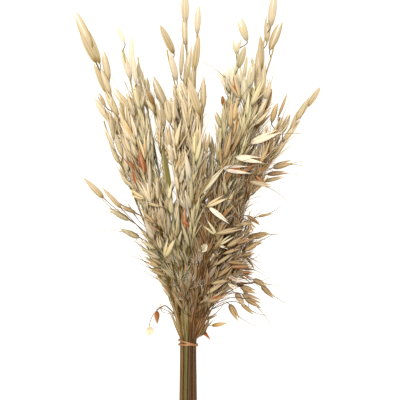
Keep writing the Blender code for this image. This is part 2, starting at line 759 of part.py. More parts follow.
def main():
    """Clears the scene and builds the bundle."""
    for obj in list(bpy.data.objects):
        bpy.data.objects.remove(obj)
    bundle = Bundle()
    for number in range(len(bundle.stems)):
        build_stem(number, bundle)
    build_band()


main()
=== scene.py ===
"""Looks of a dried oats bundle: thirty-one cut oat stems with their panicles, held by an elastic band.

Metres, +Z up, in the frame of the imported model. The origin is on the table, straight below the middle of
the band. The panicles point to +Y. The stems, branches and large spikelets stand where the CAD solids
stand, worked out again here from the same named values. Finer spikelets fill the panicles between them.
"""

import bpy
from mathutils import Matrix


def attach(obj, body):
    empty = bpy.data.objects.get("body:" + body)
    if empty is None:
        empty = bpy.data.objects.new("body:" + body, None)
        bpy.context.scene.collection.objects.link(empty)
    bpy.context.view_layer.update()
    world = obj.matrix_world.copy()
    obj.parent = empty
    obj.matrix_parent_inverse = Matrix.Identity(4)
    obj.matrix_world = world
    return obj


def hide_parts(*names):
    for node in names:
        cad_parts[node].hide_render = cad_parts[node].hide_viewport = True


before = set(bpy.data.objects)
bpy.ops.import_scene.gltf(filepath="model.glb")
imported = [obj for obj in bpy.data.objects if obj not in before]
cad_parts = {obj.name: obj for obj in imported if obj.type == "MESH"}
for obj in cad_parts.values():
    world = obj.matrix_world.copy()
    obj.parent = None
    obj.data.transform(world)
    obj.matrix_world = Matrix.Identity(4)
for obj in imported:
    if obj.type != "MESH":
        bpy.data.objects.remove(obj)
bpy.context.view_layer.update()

import logging
import math
from dataclasses import dataclass, field, replace
from enum import Enum

import bpy
import numpy as np
from bpy.types import ID, Material, Node, NodeSocket, Object

Array = np.ndarray
Draws = np.random.Generator
Span = tuple[float, float]
Spots = tuple[tuple[float, float], ...]
log = logging.getLogger("dried_oats")
MM = 0.001
GOLDEN = math.radians(137.5)


class Habit(Enum):
    """How a panicle holds its spikelets."""

    UPRIGHT = "upright"
    SPREADING = "spreading"
    NODDING = "nodding"


class Tone(Enum):
    """The material slot that a stem and its panicle take their finish from."""

    STRAW = "straw_oat"
    GREEN = "green_oat"
    TAN = "tan_oat"


class Husk(Enum):
    """How far a spikelet has opened."""

    CLOSED = "closed"
    SPLIT = "split"
    PARTED = "parted"
    GAPING = "gaping"
    EMPTY = "empty"


@dataclass(frozen=True)
class Head:
    """One stem: its tip's place from the band in mm (side, length), its slope up from the table, the length
    of its panicle in mm, how many large spikelets it carries, their habit, its tone, and how late it bows
    out."""

    side: float
    length: float
    rise: float
    panicle: float
    spikelets: int
    habit: Habit
    tone: Tone
    bow: float = 1.12


UP, OUT, NOD = Habit
STRAW, GREEN, TAN = Tone
CLOSED, SPLIT, PARTED, GAPING, EMPTY = Husk

HEADS = tuple(Head(*row) for row in (
    (-122, 361, 0.03, 200, 13, UP, STRAW, 1.22), (-77, 344, 0.12, 180, 11, UP, STRAW, 1.2),
    (-61, 339, 0.03, 180, 11, UP, GREEN), (-103, 269, 0.10, 170, 12, UP, STRAW, 1.2),
    (-80, 287, 0.20, 170, 12, UP, STRAW), (-40, 293, 0.20, 180, 11, UP, STRAW),
    (-60, 296, 0.18, 160, 11, UP, GREEN), (-62, 250, 0.26, 150, 11, UP, STRAW),
    (-73, 216, 0.08, 140, 10, UP, GREEN), (-58, 170, 0.16, 110, 9, UP, GREEN),
    (-30, 346, 0.10, 170, 11, UP, STRAW, 4), (-2, 379, 0.02, 190, 12, UP, STRAW),
    (12, 366, 0.10, 180, 12, UP, STRAW, 2), (2, 330, 0.18, 170, 11, UP, STRAW),
    (18, 291, 0.26, 150, 9, UP, STRAW), (-16, 268, 0.26, 150, 10, UP, STRAW),
    (-22, 196, 0.28, 130, 10, UP, GREEN), (8, 232, 0.30, 130, 10, UP, GREEN),
    (60, 350, 0.12, 180, 12, UP, GREEN, 1), (92, 376, 0.03, 190, 12, UP, STRAW, 0.8),
    (101, 350, 0.12, 180, 12, UP, STRAW, 1), (148, 288, 0.08, 190, 12, UP, STRAW, 1.45),
    (112, 272, 0.18, 170, 12, UP, TAN), (80, 305, 0.20, 170, 12, UP, GREEN),
    (88, 276, 0.08, 160, 11, UP, TAN), (88, 222, 0.26, 150, 11, OUT, TAN),
    (54, 268, 0.22, 160, 11, UP, TAN), (62, 206, 0.10, 140, 10, OUT, TAN),
    (84, 160, 0.14, 110, 10, NOD, TAN), (74, 122, 0.05, 80, 8, NOD, TAN),
    (38, 168, 0.30, 110, 10, OUT, TAN),
))


@dataclass(frozen=True)
class Stray:
    """A spikelet that stands clear of the rest: its base from the band (side, length) in mm, the way it
    points in degrees from +X, its length, where its branch starts, and how it has dried: how far open, from
    green 0 to brown 1 and on to rusty 2, how bleached, how many long awns it has, how much broader it has
    spread than its CAD solid, and how much rustier its florets are than its husk. Last come the tone that
    its stem must have, if any, and whether it lies on top of the rest."""

    side: float
    length: float
    aim: float
    size: float
    root: float
    husk: Husk = CLOSED
    dry: float = 0.4
    bleach: float = 0.0
    awns: int = 0
    spread: float = 1.0
    rust: float = 0.0
    tone: Tone | None = None
    on_top: bool = False


STRAYS = tuple(Stray(*row) for row in (
    (-92, 160, 135, 33, 118, CLOSED, 0.6), (-73, 149, 132, 33, 108, CLOSED, 0.6),
    (-64, 136, 152, 29, 96, SPLIT, 0.8, 0, 2, 1.2, 0.7), (-57, 144, 156, 22, 112, PARTED, 1.05, 0, 1, 1.1),
    (-53, 117, 158, 26, 84, SPLIT, 0.8, 0, 1, 1.2, 0.6), (71, 71, -24, 18, 58, PARTED, 0.9, 0, 1, 1.5),
    (80, 64, -43, 21, 50, PARTED, 0.95, 0, 1, 1.4), (57, 63, -19, 20, 50, PARTED, 0.8, 0, 0, 1.7),
    (59, 55, -28, 25, 44, GAPING, 0.8, 0.1, 1, 1.5), (52, 56, -53, 18, 38, SPLIT, 0.6, 0.1, 0, 1.8),
    (45, 44, -60, 22, 34, PARTED, 0.75, 0, 1, 1.5), (26, 20, 10, 18, 18, CLOSED, 0.3, 0, 0, 1.3),
    (14, 17, -50, 17, 27, CLOSED, 1.9, 0, 0, 1.3), (65, 117, 14, 26, 84, PARTED, 0.9, 0, 1, 1.2),
    (56, 97, 12, 18, 70, PARTED, 0.9), (76, 140, 12, 19, 100, CLOSED, 0.6, 0, 1),
    (64, 141, -33, 19, 105, PARTED, 0.8, 0, 0, 1.3, 0.4), (92, 193, 18, 26, 150, PARTED, 0.95, 0, 2, 1.25),
    (82, 178, 14, 26, 140, PARTED, 0.9),
))
STRAYS_ON_TOP = tuple(Stray(*row, on_top=True) for row in (
    (73, 184, -45, 18, 150, PARTED, 1.35, 0, 0, 1.5), (67, 219, 22, 36, 176, PARTED, 0.2, 0.65, 1, 1.15),
    (51, 204, -7, 32, 166, GAPING, 0.2, 0.8, 1, 1.2), (38, 192, -4, 30, 150, GAPING, 0.2, 0.8, 2, 1.2, 0.7),
    (13, 164, 49, 42, 130, SPLIT, 0.3, 0.3, 1, 0.75), (23, 150, -38, 28, 116, SPLIT, 0.1, 0.9, 1),
))


ACCENTS = tuple(Stray(*row) for row in (
    (-30, 38, 100, 9, 30, CLOSED, 0.2, 0.5, 0, 1.4), (14, 9, 68, 24, 5, PARTED, 1, 0, 1, 1.2),
    (18, 26, 25, 18, 18, PARTED, 0.9, 0, 1, 0.8), (60, 62, -62, 17, 46, PARTED, 0.6, 0, 1, 1.4),
    (54, 85, -8, 20, 66, PARTED, 1, 0, 0, 1.2), (53, 95, 8, 19, 70, PARTED, 0.9, 0, 0, 1.2),
    (86, 186, 7, 24, 150, PARTED, 1.1, 0, 1, 1.2), (62, 50, -22, 22, 40, GAPING, 0.9, 0, 0, 1.2),
    (58, 44, -38, 20, 36, PARTED, 0.7, 0, 1, 1.2), (50, 76, 4, 22, 56, PARTED, 1, 0, 0, 1.1),
    (52, 66, -10, 22, 46, GAPING, 1.2, 0, 1, 1.1), (62, 106, 18, 22, 80, PARTED, 1, 0, 1, 1.1),
))
ACCENTS_ON_TOP = tuple(Stray(*row, on_top=True) for row in (
    (-56, 176, 105, 16, 160, CLOSED, 1.8), (-47, 187, 98, 14, 168, CLOSED, 1.8),
    (1, 131, 150, 9, 122, CLOSED, 1.8, 0, 0, 1.5), (20, 151, 27, 25, 128, GAPING, 0.35, 0, 1, 1.1),
    (21, 48, 28, 25, 34, GAPING, 0.7, 0.1, 0, 1.1, 1.2),
    (62, 137, -50, 17, 104, GAPING, 0.8, 0, 0, 1.3, 0.5), (-22, 55, 96, 15, 40, CLOSED, 1.5, 0.3, 0, 1.2),
    (66, 178, -12, 27, 140, PARTED, 0.8, 0.1, 1, 0.9), (30, 122, 12, 30, 100, PARTED, 0.9, 0, 1),
    (42, 108, 28, 26, 88, PARTED, 1, 0, 1), (31, 120, 132, 20, 104, EMPTY, 0.3, 0, 0, 1.5, 0, GREEN),
    (34, 110, 35, 18, 96, EMPTY, 0.2, 0.1, 0, 1.3, 0, GREEN),
    (32, 110, -22, 13, 100, SPLIT, 0.1, 0.5, 0, 1.4, 0, GREEN),
    (-25, 96, 70, 24, 80, GAPING, 0.5, 0, 0, 1.4, 0, GREEN),
    (-29, 105, 105, 15, 92, EMPTY, 0.45, 0, 0, 1.3, 0, GREEN),
    (56, 267, 114, 29, 236, GAPING, 0.7, 0, 1, 1.1, 1.3), (47, 251, 105, 13, 230, CLOSED, 1.75, 0, 0, 1.4),
    (43, 68, -32, 15, 48, EMPTY, 0.2, 0.7, 0, 1.2), (47, 71, 8, 13, 48, EMPTY, 0.2, 0.6, 0, 1.1),
    (-58, 170, 133, 19, 146, CLOSED, 0.4, 0, 0, 0.6), (-46, 159, 157, 22, 136, GAPING, 0.2, 0, 0, 0.9),
    (-57, 140, 121, 19, 118, CLOSED, 1, 0, 0, 0.6), (-35, 133, 144, 24, 110, GAPING, 1, 0, 2, 0.9),
    (-30, 124, 150, 17, 104, PARTED, 1.1), (-40, 113, 130, 19, 92, PARTED, 0.9),
    (-35, 105, 150, 21, 84, SPLIT, 0.6), (-30, 95, 155, 23, 74, GAPING, 0.8, 0.2, 2, 0.9),
    (-28, 88, 146, 18, 68, PARTED, 1.1, 0, 1), (-26, 82, 177, 15, 64, PARTED, 1.15, 0, 1),
    (-23, 71, 138, 13, 54, PARTED, 1.2), (-34, 99, 161, 21, 80, PARTED, 0.8, 0, 1, 1.1),
    (-31, 85, 150, 22, 66, GAPING, 0.9, 0, 1), (-25, 76, 156, 22, 58, PARTED, 1.1, 0, 1, 1.1),
    (-22, 64, 140, 18, 48, PARTED, 1, 0, 1, 1.1), (-19, 52, 128, 17, 38, PARTED, 0.9, 0.1, 0, 1.1),
    (-31, 153, 105, 10, 136, CLOSED, 1.8), (-30, 151, 165, 16, 132, PARTED, 0.7, 0, 0, 0.9),
    (-21, 158, 78, 22, 140, CLOSED, 0.1, 0.1, 0, 0.8), (-34, 169, 75, 18, 150, PARTED, 0.8, 0, 0, 0.8),
    (51, 130, 14, 18, 108, PARTED, 1, 0, 1), (61, 120, 50, 13, 98, PARTED, 0.9, 0, 0, 1.1),
    (53, 111, 27, 20, 90, GAPING, 1), (68, 117, 15, 21, 90, PARTED, 0.9),
    (61, 103, 33, 23, 82, SPLIT, 0.8, 0, 0, 1.1), (55, 97, 15, 18, 76, PARTED, 1, 0, 0, 1.3),
    (42, 91, 1, 26, 70, GAPING, 1, 0, 0, 0.9), (46, 86, 3, 25, 66, PARTED, 1.2, 0, 1, 0.9),
    (57, 80, 1, 15, 60, PARTED, 1.5, 0, 0, 0.9), (41, 77, -25, 18, 56, GAPING, 0.5, 0.5, 0, 1, 0.9),
    (30, 88, 35, 24, 66, PARTED, 1, 0, 0, 0.8), (32, 75, 40, 22, 54, PARTED, 0.9, 0, 0, 0.9),
    (38, 100, 20, 20, 80, PARTED, 1, 0, 0, 0.9), (20, 57, 34, 24, 44, PARTED, 0.9, 0, 0, 0.9),
    (25, 68, 12, 20, 54, PARTED, 1, 0, 0, 0.9),
))


@dataclass(frozen=True)
class Plume:
    """A long slim spikelet of a leading tip: the places of its foot and of its tip from the band (side,
    length) and its width, in mm, then how it has dried: from green 0 to brown 1 and rusty 2, how bleached,
    how far open, and how much rustier its florets are."""

    foot: Span
    tip: Span
    wide: float
    dry: float = 0.2
    bleach: float = 0.0
    husk: Husk = CLOSED
    rust: float = 0.0


PLUMES = tuple(Plume(*row) for row in (
    ((-104, 322), (-124, 364), 7.6), ((-100, 307), (-118, 343), 7, 0.3), ((-96, 306), (-111, 346), 7, 0.35),
    ((-86, 288), (-93, 322), 5.9, 0.25), ((-89, 274), (-103, 307), 5.4, 0.3),
    ((-84, 273), (-96, 302), 5.4, 0.25), ((-76, 249), (-92, 281), 7, 0.15),
    ((-90, 260), (-99, 275), 3.8, 0.5, 0, PARTED), ((-82, 240), (-104, 270), 6.5, 0.15),
    ((-60, 254), (-82, 279), 6.5, 0.15, 0.1, PARTED), ((-68, 327), (-77, 347), 4.3, 0.05, 0.7),
    ((-62, 288), (-72, 322), 5.9, 0.1, 0.45), ((-61, 293), (-61, 339), 4.3, 0.05, 0.6),
    ((-56, 283), (-60, 318), 4.9, 0.1, 0.5), ((-48, 276), (-55, 307), 5.9, 0.1, 0.3),
    ((-44, 259), (-59, 287), 7, 0.1, 0.2), ((-43, 274), (-46, 293), 4.3, 0.5, 0, PARTED),
    ((-36, 260), (-45, 278), 5.4, 0.75), ((-36, 252), (-46, 270), 4.9, 0.3),
    ((-22, 253), (-40, 295), 8.6, 0.35), ((-3, 350), (-4, 389), 7.6, 0.15, 0.2),
    ((-3, 326), (-5, 361), 5.4, 0.25, 0.1), ((-8, 292), (-6, 335), 4.3, 0.3, 0.1),
    ((-15, 316), (-31, 349), 7.4, 0.3), ((-12, 287), (-21, 321), 7, 0.1, 0.3),
    ((-4, 280), (3, 328), 5.4, 0.35), ((10, 336), (11, 371), 6.4, 0.15, 0.3), ((6, 296), (12, 338), 7, 0.3),
    ((6, 276), (5, 305), 4.9, 0.3), ((-4, 253), (-18, 284), 7.6, 0.3),
    ((-1, 253), (-8, 292), 5.4, 0.3, 0, PARTED), ((13, 248), (0, 289), 7.6, 0.3),
    ((17, 255), (16, 292), 5.4, 0.45), ((64, 329), (55, 355), 7, 0.15, 0.2, PARTED),
    ((52, 315), (53, 333), 4.9, 0.1, 0.3, GAPING), ((54, 300), (62, 324), 6.5, 0.35, 0.1),
    ((59, 282), (64, 315), 3.8, 0.1, 0.1), ((46, 274), (37, 296), 3.2, 0.3),
    ((41, 279), (38, 303), 6.5, 0.1, 0.8, EMPTY), ((57, 281), (54, 304), 5.4, 0.2, 0.5, PARTED),
    ((56, 269), (46, 292), 7.6, 0.2, 0.5, GAPING), ((46, 248), (46, 274), 7.6, 0.6, 0, PARTED),
    ((39, 259), (37, 271), 4.9, 1), ((52, 253), (45, 300), 7, 0.15, 0.35),
    ((90, 346), (94, 386), 7, 0.25, 0.2), ((86, 329), (87, 364), 5.4, 0.35, 0.1),
    ((88, 319), (101, 352), 7, 0.45), ((80, 299), (79, 338), 5.9, 0.4),
    ((76, 296), (77, 327), 5.4, 0.3, 0.1), ((76, 267), (75, 313), 6.5, 0.25),
    ((79, 267), (83, 307), 5.4, 0.3), ((65, 276), (70, 308), 6.5, 0.15, 0.2),
    ((75, 294), (68, 315), 3.2, 0.3, 0.1), ((84, 255), (91, 279), 5.4, 0.35),
    ((84, 266), (86, 288), 6.5, 0.15, 0.2, PARTED), ((66, 245), (69, 283), 9.7, 0.25, 0.1),
    ((90, 241), (96, 264), 4.9, 0.3), ((97, 247), (107, 273), 3.2, 0.3, 0.1),
    ((129, 259), (144, 281), 5.4, 0.3), ((117, 244), (134, 272), 5.4, 0.3),
    ((111, 229), (120, 256), 4.9, 0.3), ((103, 231), (110, 253), 5.4, 0.3, 0.1),
    ((62, 262), (60, 291), 6.5, 0.2, 0.3), ((63, 268), (67, 296), 5.4, 0.3, 0.1),
    ((43, 270), (39, 298), 5, 0.15, 0.5, PARTED), ((48, 279), (48, 305), 5, 0.1, 0.6, PARTED),
    ((36, 236), (29, 254), 4.3, 0.4, 0, PARTED), ((-25, 236), (-33, 266), 6.5, 0.4),
    ((-19, 240), (-24, 268), 6.5, 0.25), ((-20, 212), (-22, 239), 5.4, 0.4, 0, PARTED),
    ((19, 208), (22, 232), 4.3, 0.5, 0, PARTED), ((27, 206), (24, 228), 4.3, 0.6, 0, PARTED),
    ((16, 184), (19, 211), 4.6, 0.6), ((22, 180), (23, 206), 4.6, 0.5), ((24, 196), (30, 222), 4.6, 0.5),
    ((-77, 228), (-88, 255), 5.4), ((-71, 205), (-80, 232), 5.4, 0.3),
))


@dataclass(frozen=True)
class Scrap:
    """A scrap of leaf caught in the panicles: its middle from the band and its radius in mm, its breadth as
    a share of its length, its turn in degrees, how much its rim curls, and how dry and bleached it is."""

    side: float
    length: float
    radius: float
    breadth: float
    turn: float
    curl: float
    dry: float = 0.1
    bleach: float = 0.3


SCRAPS = tuple(Scrap(*row) for row in (
    (17, 106, 5.2, 0.85, 20, 0.3, 0.2), (26.5, 95.5, 4.4, 0.7, 70, 0.9, 0.3),
))


@dataclass(frozen=True)
class Leaf:
    """A dried blade: its root from the band (side, length), the way it points in degrees from +X, and its
    length and width in mm."""

    side: float
    length: float
    aim: float
    size: float
    wide: float


LEAVES = tuple(Leaf(*row) for row in (
    (-19, 158, 98, 72, 5), (-22, 88, 104, 36, 6), (-14, 48, 118, 58, 4.4), (15, 32, 50, 52, 4),
))


def unit(v: Array) -> Array:
    """v at length one, row by row."""
    return v / np.maximum(np.linalg.norm(v, axis=-1, keepdims=True), 1e-12)


@dataclass(frozen=True)
class StemSizes:
    """The sizes of the stems and of the way they are packed at the band, the same as in the CAD source."""

    radius: float = 1.35 * MM
    cut_radius: float = 1.5 * MM
    tip_radius: float = 0.6 * MM
    gap: float = 0.3 * MM
    cut_y: float = -205 * MM
    cut_step: float = 3 * MM
    cut_spread: float = 1.3
    cut_twist: float = math.radians(18)
    held: int = 3
    near_end: float = 12 * MM
    terminal: float = 25 * MM
    axis_low: float = 5 * MM
    room_from: float = 30 * MM
    room_share: float = 0.03
    room_most: float = 6 * MM
    slant: float = 1.1
    pushes: int = 120

    @property
    def pitch(self) -> float:
        """The distance between neighbouring stems at the band."""
        return 2 * self.radius + self.gap

    def radius_at(self, y: Array, end: Array) -> Array:
        """A stem's radius at y: thickest at the cut end, and slender along its panicle up to end.

        Args:
            y: the place along the stem.
            end: where its axis ends.

        Returns:
            The radius: the plain one, less a share of (y / end) to the power 1.3, plus a share of y / cut_y.
        """
        up = np.clip(y / end, 0, 1)
        down = np.clip(y / self.cut_y, 0, 1)
        tapered = (self.tip_radius - self.radius) * up**1.3
        return self.radius + tapered + (self.cut_radius - self.radius) * down


SIZES = StemSizes()
STATIONS = np.array([-205, -10, 10, 45, 95, 155, 215, 275, 335, 395]) * MM


def packed_places() -> Array:
    """The stems' places (x, z) round the middle one, on a triangular grid cut to a round outline."""
    rows = range(-3, 4)
    pitch = SIZES.pitch
    grid = [(pitch * (q + r / 2), pitch * r * math.sqrt(3) / 2) for r in rows for q in range(-5, 6)]
    return np.array([p for p in grid if math.hypot(*p) < 2.7 * pitch])


PLACES = packed_places()
PACK_R = float(np.linalg.norm(PLACES, axis=1).max()) + SIZES.radius


@dataclass(frozen=True)
class BandSizes:
    """The elastic band: two turns of square elastic, one level and one that leans across it."""

    thick: float = 1.5 * MM
    wide: float = 1.6 * MM
    segments: int = 24
    gap: float = 0.3 * MM
    level: Span = (0.0, 0.0)
    leaning: Span = (5 * MM, -1 * MM)

    @property
    def height(self) -> float:
        """The height of the band's middle, with its lowest facet on the table."""
        inside = (PACK_R + self.gap) / math.cos(math.pi / self.segments)
        return (inside + self.thick) * math.cos(math.pi / self.segments)


BAND = BandSizes()
BAND_Z = BAND.height


def places_for(heads: tuple[Head, ...]) -> Array:
    """Each head's place at the band, chosen so that stems fan out without crossing.

    Args:
        heads: the stems.

    Returns:
        Places (x, z). Pairs are swapped while that brings the places nearer to the ways the heads lean.
    """
    lean = np.array([(h.side / h.length, h.rise) for h in heads])
    lean = (lean - lean.mean(0)) / lean.std(0)
    place = PLACES / PLACES.std(0)
    chosen = np.argsort(np.argsort(lean[:, 0] + 0.01 * lean[:, 1]))
    chosen = np.argsort(place[:, 0] + 0.01 * place[:, 1])[chosen]
    cost = ((lean[:, None] - place[None]) ** 2).sum(2)
    swapped = True
    while swapped:
        swapped = False
        for i in range(len(heads)):
            for j in range(i):
                a, b = chosen[i], chosen[j]
                if cost[i, b] + cost[j, a] < cost[i, a] + cost[j, b] - 1e-12:
                    chosen[i], chosen[j] = b, a
                    swapped = True
    return PLACES[chosen]


def stem_lines(heads: tuple[Head, ...], rng: Draws) -> tuple[Array, Array]:
    """Each stem's places (x, z) at the stations, and where its axis ends.

    Args:
        heads: the stems.
        rng: the layout's random draws.

    Returns:
        The places, which lean out by (share of the way up) to the power of each head's bow, and the ends.
    """
    home = places_for(heads)
    tips = np.array([(h.side * MM, BAND_Z + h.rise * h.length * MM) for h in heads])
    lengths = np.array([h.length for h in heads]) * MM
    bows = np.array([h.bow for h in heads])
    ends = lengths - SIZES.terminal
    turn, grown = SIZES.cut_twist, home * SIZES.cut_spread
    cut = np.stack([
        grown[:, 0] * math.cos(turn) - grown[:, 1] * math.sin(turn),
        grown[:, 0] * math.sin(turn) + grown[:, 1] * math.cos(turn),
    ], axis=1)
    cut[:, 1] += SIZES.cut_radius - cut[:, 1].min()
    packed = home + (0, BAND_Z)
    lines = np.zeros((len(heads), len(STATIONS), 2))
    lines[:, 0] = cut
    lines[:, 1] = lines[:, 2] = packed
    held = SIZES.held
    for k in range(held, len(STATIONS)):
        share = (STATIONS[k] - STATIONS[held - 1]) / (lengths - STATIONS[held - 1])
        lines[:, k] = packed + (tips - packed) * (share**bows)[:, None]
    lines[:, held:] += rng.uniform(-1, 1, lines[:, held:].shape) * MM
    push_apart(lines, ends)
    return lines, ends


def push_apart(lines: Array, ends: Array) -> None:
    """Moves the stems' places above the band apart, sideways and up, until each has the room its panicle
    takes.

    Args:
        lines: the places (x, z) at the stations, changed in place.
        ends: where each stem's axis ends.
    """
    held = SIZES.held
    for _ in range(SIZES.pushes):
        for k in range(held - 1, len(STATIONS) - 1):
            for share in (0.0, 0.25, 0.5, 0.75, 1.0):
                y = STATIONS[k] + share * (STATIONS[k + 1] - STATIONS[k])
                there = np.flatnonzero(ends > y - SIZES.near_end)
                if len(there) < 2:
                    continue
                at = lines[there, k] * (1 - share) + lines[there, k + 1] * share
                apart = at[:, None] - at[None]
                far = np.linalg.norm(apart, axis=2) + np.eye(len(there))
                radii = SIZES.radius_at(y, ends[there])
                room = min(SIZES.room_most, max(0.0, (y - SIZES.room_from) * SIZES.room_share))
                need = (radii[:, None] + radii[None]) * SIZES.slant + SIZES.gap + room
                short = np.maximum(0, need - far) * (1 - np.eye(len(there)))
                move = (apart / far[:, :, None] * (short / 2)[:, :, None]).sum(1)
                if k >= held:
                    lines[there, k] += move * (1 - share)
                lines[there, k + 1] += move * share
        low = np.minimum(SIZES.axis_low, lines[:, held - 1 : held, 1])
        lines[:, held:, 1] = np.maximum(lines[:, held:, 1], low)


class StemLine:
    """One stem's centre line, from its cut end to the last spikelet."""

    def __init__(self, head: Head, line: Array, end: float, cut_y: float) -> None:
        """Keeps the stem's points: the stations that it reaches, and its own two ends.

        Args:
            head: the stem's sizes.
            line: its places (x, z) at the stations.
            end: where its axis ends.
            cut_y: where it is cut.
        """
        self.head = head
        self.end = end
        ys = [cut_y] + [y for y in STATIONS[1:] if y < end - SIZES.near_end] + [end]
        self.ys = np.array(ys)
        self.xs = np.interp(ys, STATIONS, line[:, 0])
        self.zs = np.interp(ys, STATIONS, line[:, 1])
        self.xs[0], self.zs[0] = line[0]
        self.radii = SIZES.radius_at(self.ys, end)
        self.points = np.stack([self.xs, self.ys, self.zs], axis=1)

    def at(self, y: float) -> Array:
        """The point on the centre line at y."""
        return np.array([np.interp(y, self.ys, self.xs), y, np.interp(y, self.ys, self.zs)])

    def way(self, y: float) -> Array:
        """The direction of the stem at y."""
        k = int(np.clip(np.searchsorted(self.ys, y) - 1, 0, len(self.ys) - 2))
        return unit(self.points[k + 1] - self.points[k])

    def rods(self) -> Array:
        """The stem as tapered rods."""
        return np.column_stack([self.points[:-1], self.radii[:-1], self.points[1:], self.radii[1:]])


@dataclass(frozen=True)
class SpikeletSizes:
    """The sizes of spikelets and their branches, the same as in the CAD source."""

    half_wide: Span = (0.088, 0.115)
    gape: Span = (0.25, 0.75)
    thick_share: float = 0.7
    body_rings: Spots = ((0.36, 1.0), (0.66, 0.8))
    short_glume: float = 0.9
    tip_r: float = 0.2 * MM
    branch: Span = (4 * MM, 26 * MM)
    branch_r: float = 0.45 * MM
    sink: float = 0.3 * MM
    margin: float = 0.15 * MM
    near: float = 8 * MM
    sister_overlap: float = 1.2 * MM
    tries: int = 70
    rest_reach: float = 5 * MM
    panicle_low: float = 38 * MM


OAT = SpikeletSizes()
BRANCH_ARCH = np.array([0, 3, 2]) * MM
LENGTHS = {UP: (24, 32), OUT: (21, 28), NOD: (18, 25)}
ROOT_ANGLES = {UP: (8, 20), OUT: (20, 42), NOD: (30, 60)}
NOD_AIMS = (-50, 35)


@dataclass
class Spikelet:
    """One spikelet on its branch: the branch's points from inside the stem to the spikelet's base, the way
    it points, its broad side, its length, half width, half thickness, and how far its two glumes gape. The
    other fields say how it has dried and spread."""

    branch: Array
    way: Array
    broad: Array
    length: float
    half_wide: float
    half_thick: float
    gape: float
    husk: Husk = CLOSED
    dry: float = 0.4
    bleach: float = 0.0
    awns: int = 0
    hairy: bool = False
    decided: bool = False
    spread: float = 1.0
    rust: float = 0.0
    plume: bool = False

    @property
    def base(self) -> Array:
        """Where the spikelet starts."""
        return self.branch[-1]

    def lowest(self) -> float:
        """The lowest height of its body and tips."""
        flat = unit(np.cross(self.way, self.broad))
        low = []
        for along, share in OAT.body_rings:
            c = self.base + self.way * self.length * along
            w, t = self.broad * self.half_wide * share, flat * self.half_thick * share
            low += [(c + w)[2], (c + t)[2], (c - w)[2], (c - t)[2]]
        tip = self.base + self.way * self.length
        short = self.base + self.way * self.length * OAT.short_glume
        return min([*low, (tip + self.broad * self.gape)[2], (short - self.broad * self.gape)[2]])

    def rods(self) -> Array:
        """The branch and the spikelet as tapered rods, the branch's first."""
        line = [(p, OAT.branch_r) for p in self.branch]
        for along, share in OAT.body_rings:
            line.append((self.base + self.way * self.length * along, self.half_wide * share))
        line.append((self.base + self.way * self.length, self.gape + OAT.tip_r))
        return np.array([(*p, r, *q, s) for (p, r), (q, s) in zip(line[:-1], line[1:])])

    def lifted(self, by: float) -> "Spikelet":
        """The same spikelet with its end of the branch raised."""
        branch = self.branch.copy()
        branch[:, 2] += by * np.linspace(0, 1, len(branch))
        return replace(self, branch=branch)


def make_spikelet(branch: list[Array], way: Array, length: float, roll: float, rng: Draws) -> Spikelet:
    """A spikelet at the end of a branch.

    Args:
        branch: the branch's points.
        way: the direction it points in.
        length: its length.
        roll: how far its broad side is turned from level, in radians.
        rng: where its breadth and gape are drawn from.

    Returns:
        The spikelet.
    """
    way = unit(way)
    level = unit(np.cross(way, (0, 0, 1)))
    upright = np.cross(level, way)
    half = length * rng.uniform(*OAT.half_wide)
    gape = half * rng.uniform(*OAT.gape)
    broad = level * math.cos(roll) + upright * math.sin(roll)
    return Spikelet(np.array(branch), way, broad, length, half, half * OAT.thick_share, gape)


def settle(spikelet: Spikelet) -> Spikelet:
    """Lets a spikelet that is near the table come to rest on it, and lifts one that would go through it.

    Args:
        spikelet: the spikelet.

    Returns:
        The same one, or the settled one.
    """
    low = spikelet.lowest()
    if low >= OAT.rest_reach:
        return spikelet
    level = replace(spikelet, broad=unit(np.cross(spikelet.way, (0, 0, 1))))
    return level.lifted(-level.lowest())


def rod_gaps(a: Array, b: Array) -> Array:
    """The gap between each rod of a and each of b.

    Args:
        a: tapered rods, each a point, a radius, a point and a radius.
        b: the same.

    Returns:
        The least distance between their centre lines, less the radii where it is least.
    """
    p, q = a[:, None, :3], b[None, :, :3]
    u, v = a[:, None, 4:7] - p, b[None, :, 4:7] - q
    w = p - q
    uu, vv, uv = (u * u).sum(2), (v * v).sum(2), (u * v).sum(2)
    uw, vw = (u * w).sum(2), (v * w).sum(2)
    s = np.clip((uv * vw - uw * vv) / np.maximum(uu * vv - uv * uv, 1e-18), 0, 1)
    t = np.clip((uv * s + vw) / np.maximum(vv, 1e-18), 0, 1)
    s = np.clip((uv * t - uw) / np.maximum(uu, 1e-18), 0, 1)
    far = np.linalg.norm(w + s[..., None] * u - t[..., None] * v, axis=2)
    ra = a[:, None, 3] + (a[:, None, 7] - a[:, None, 3]) * s
    rb = b[None, :, 3] + (b[None, :, 7] - b[None, :, 3]) * t
    return far - ra - rb


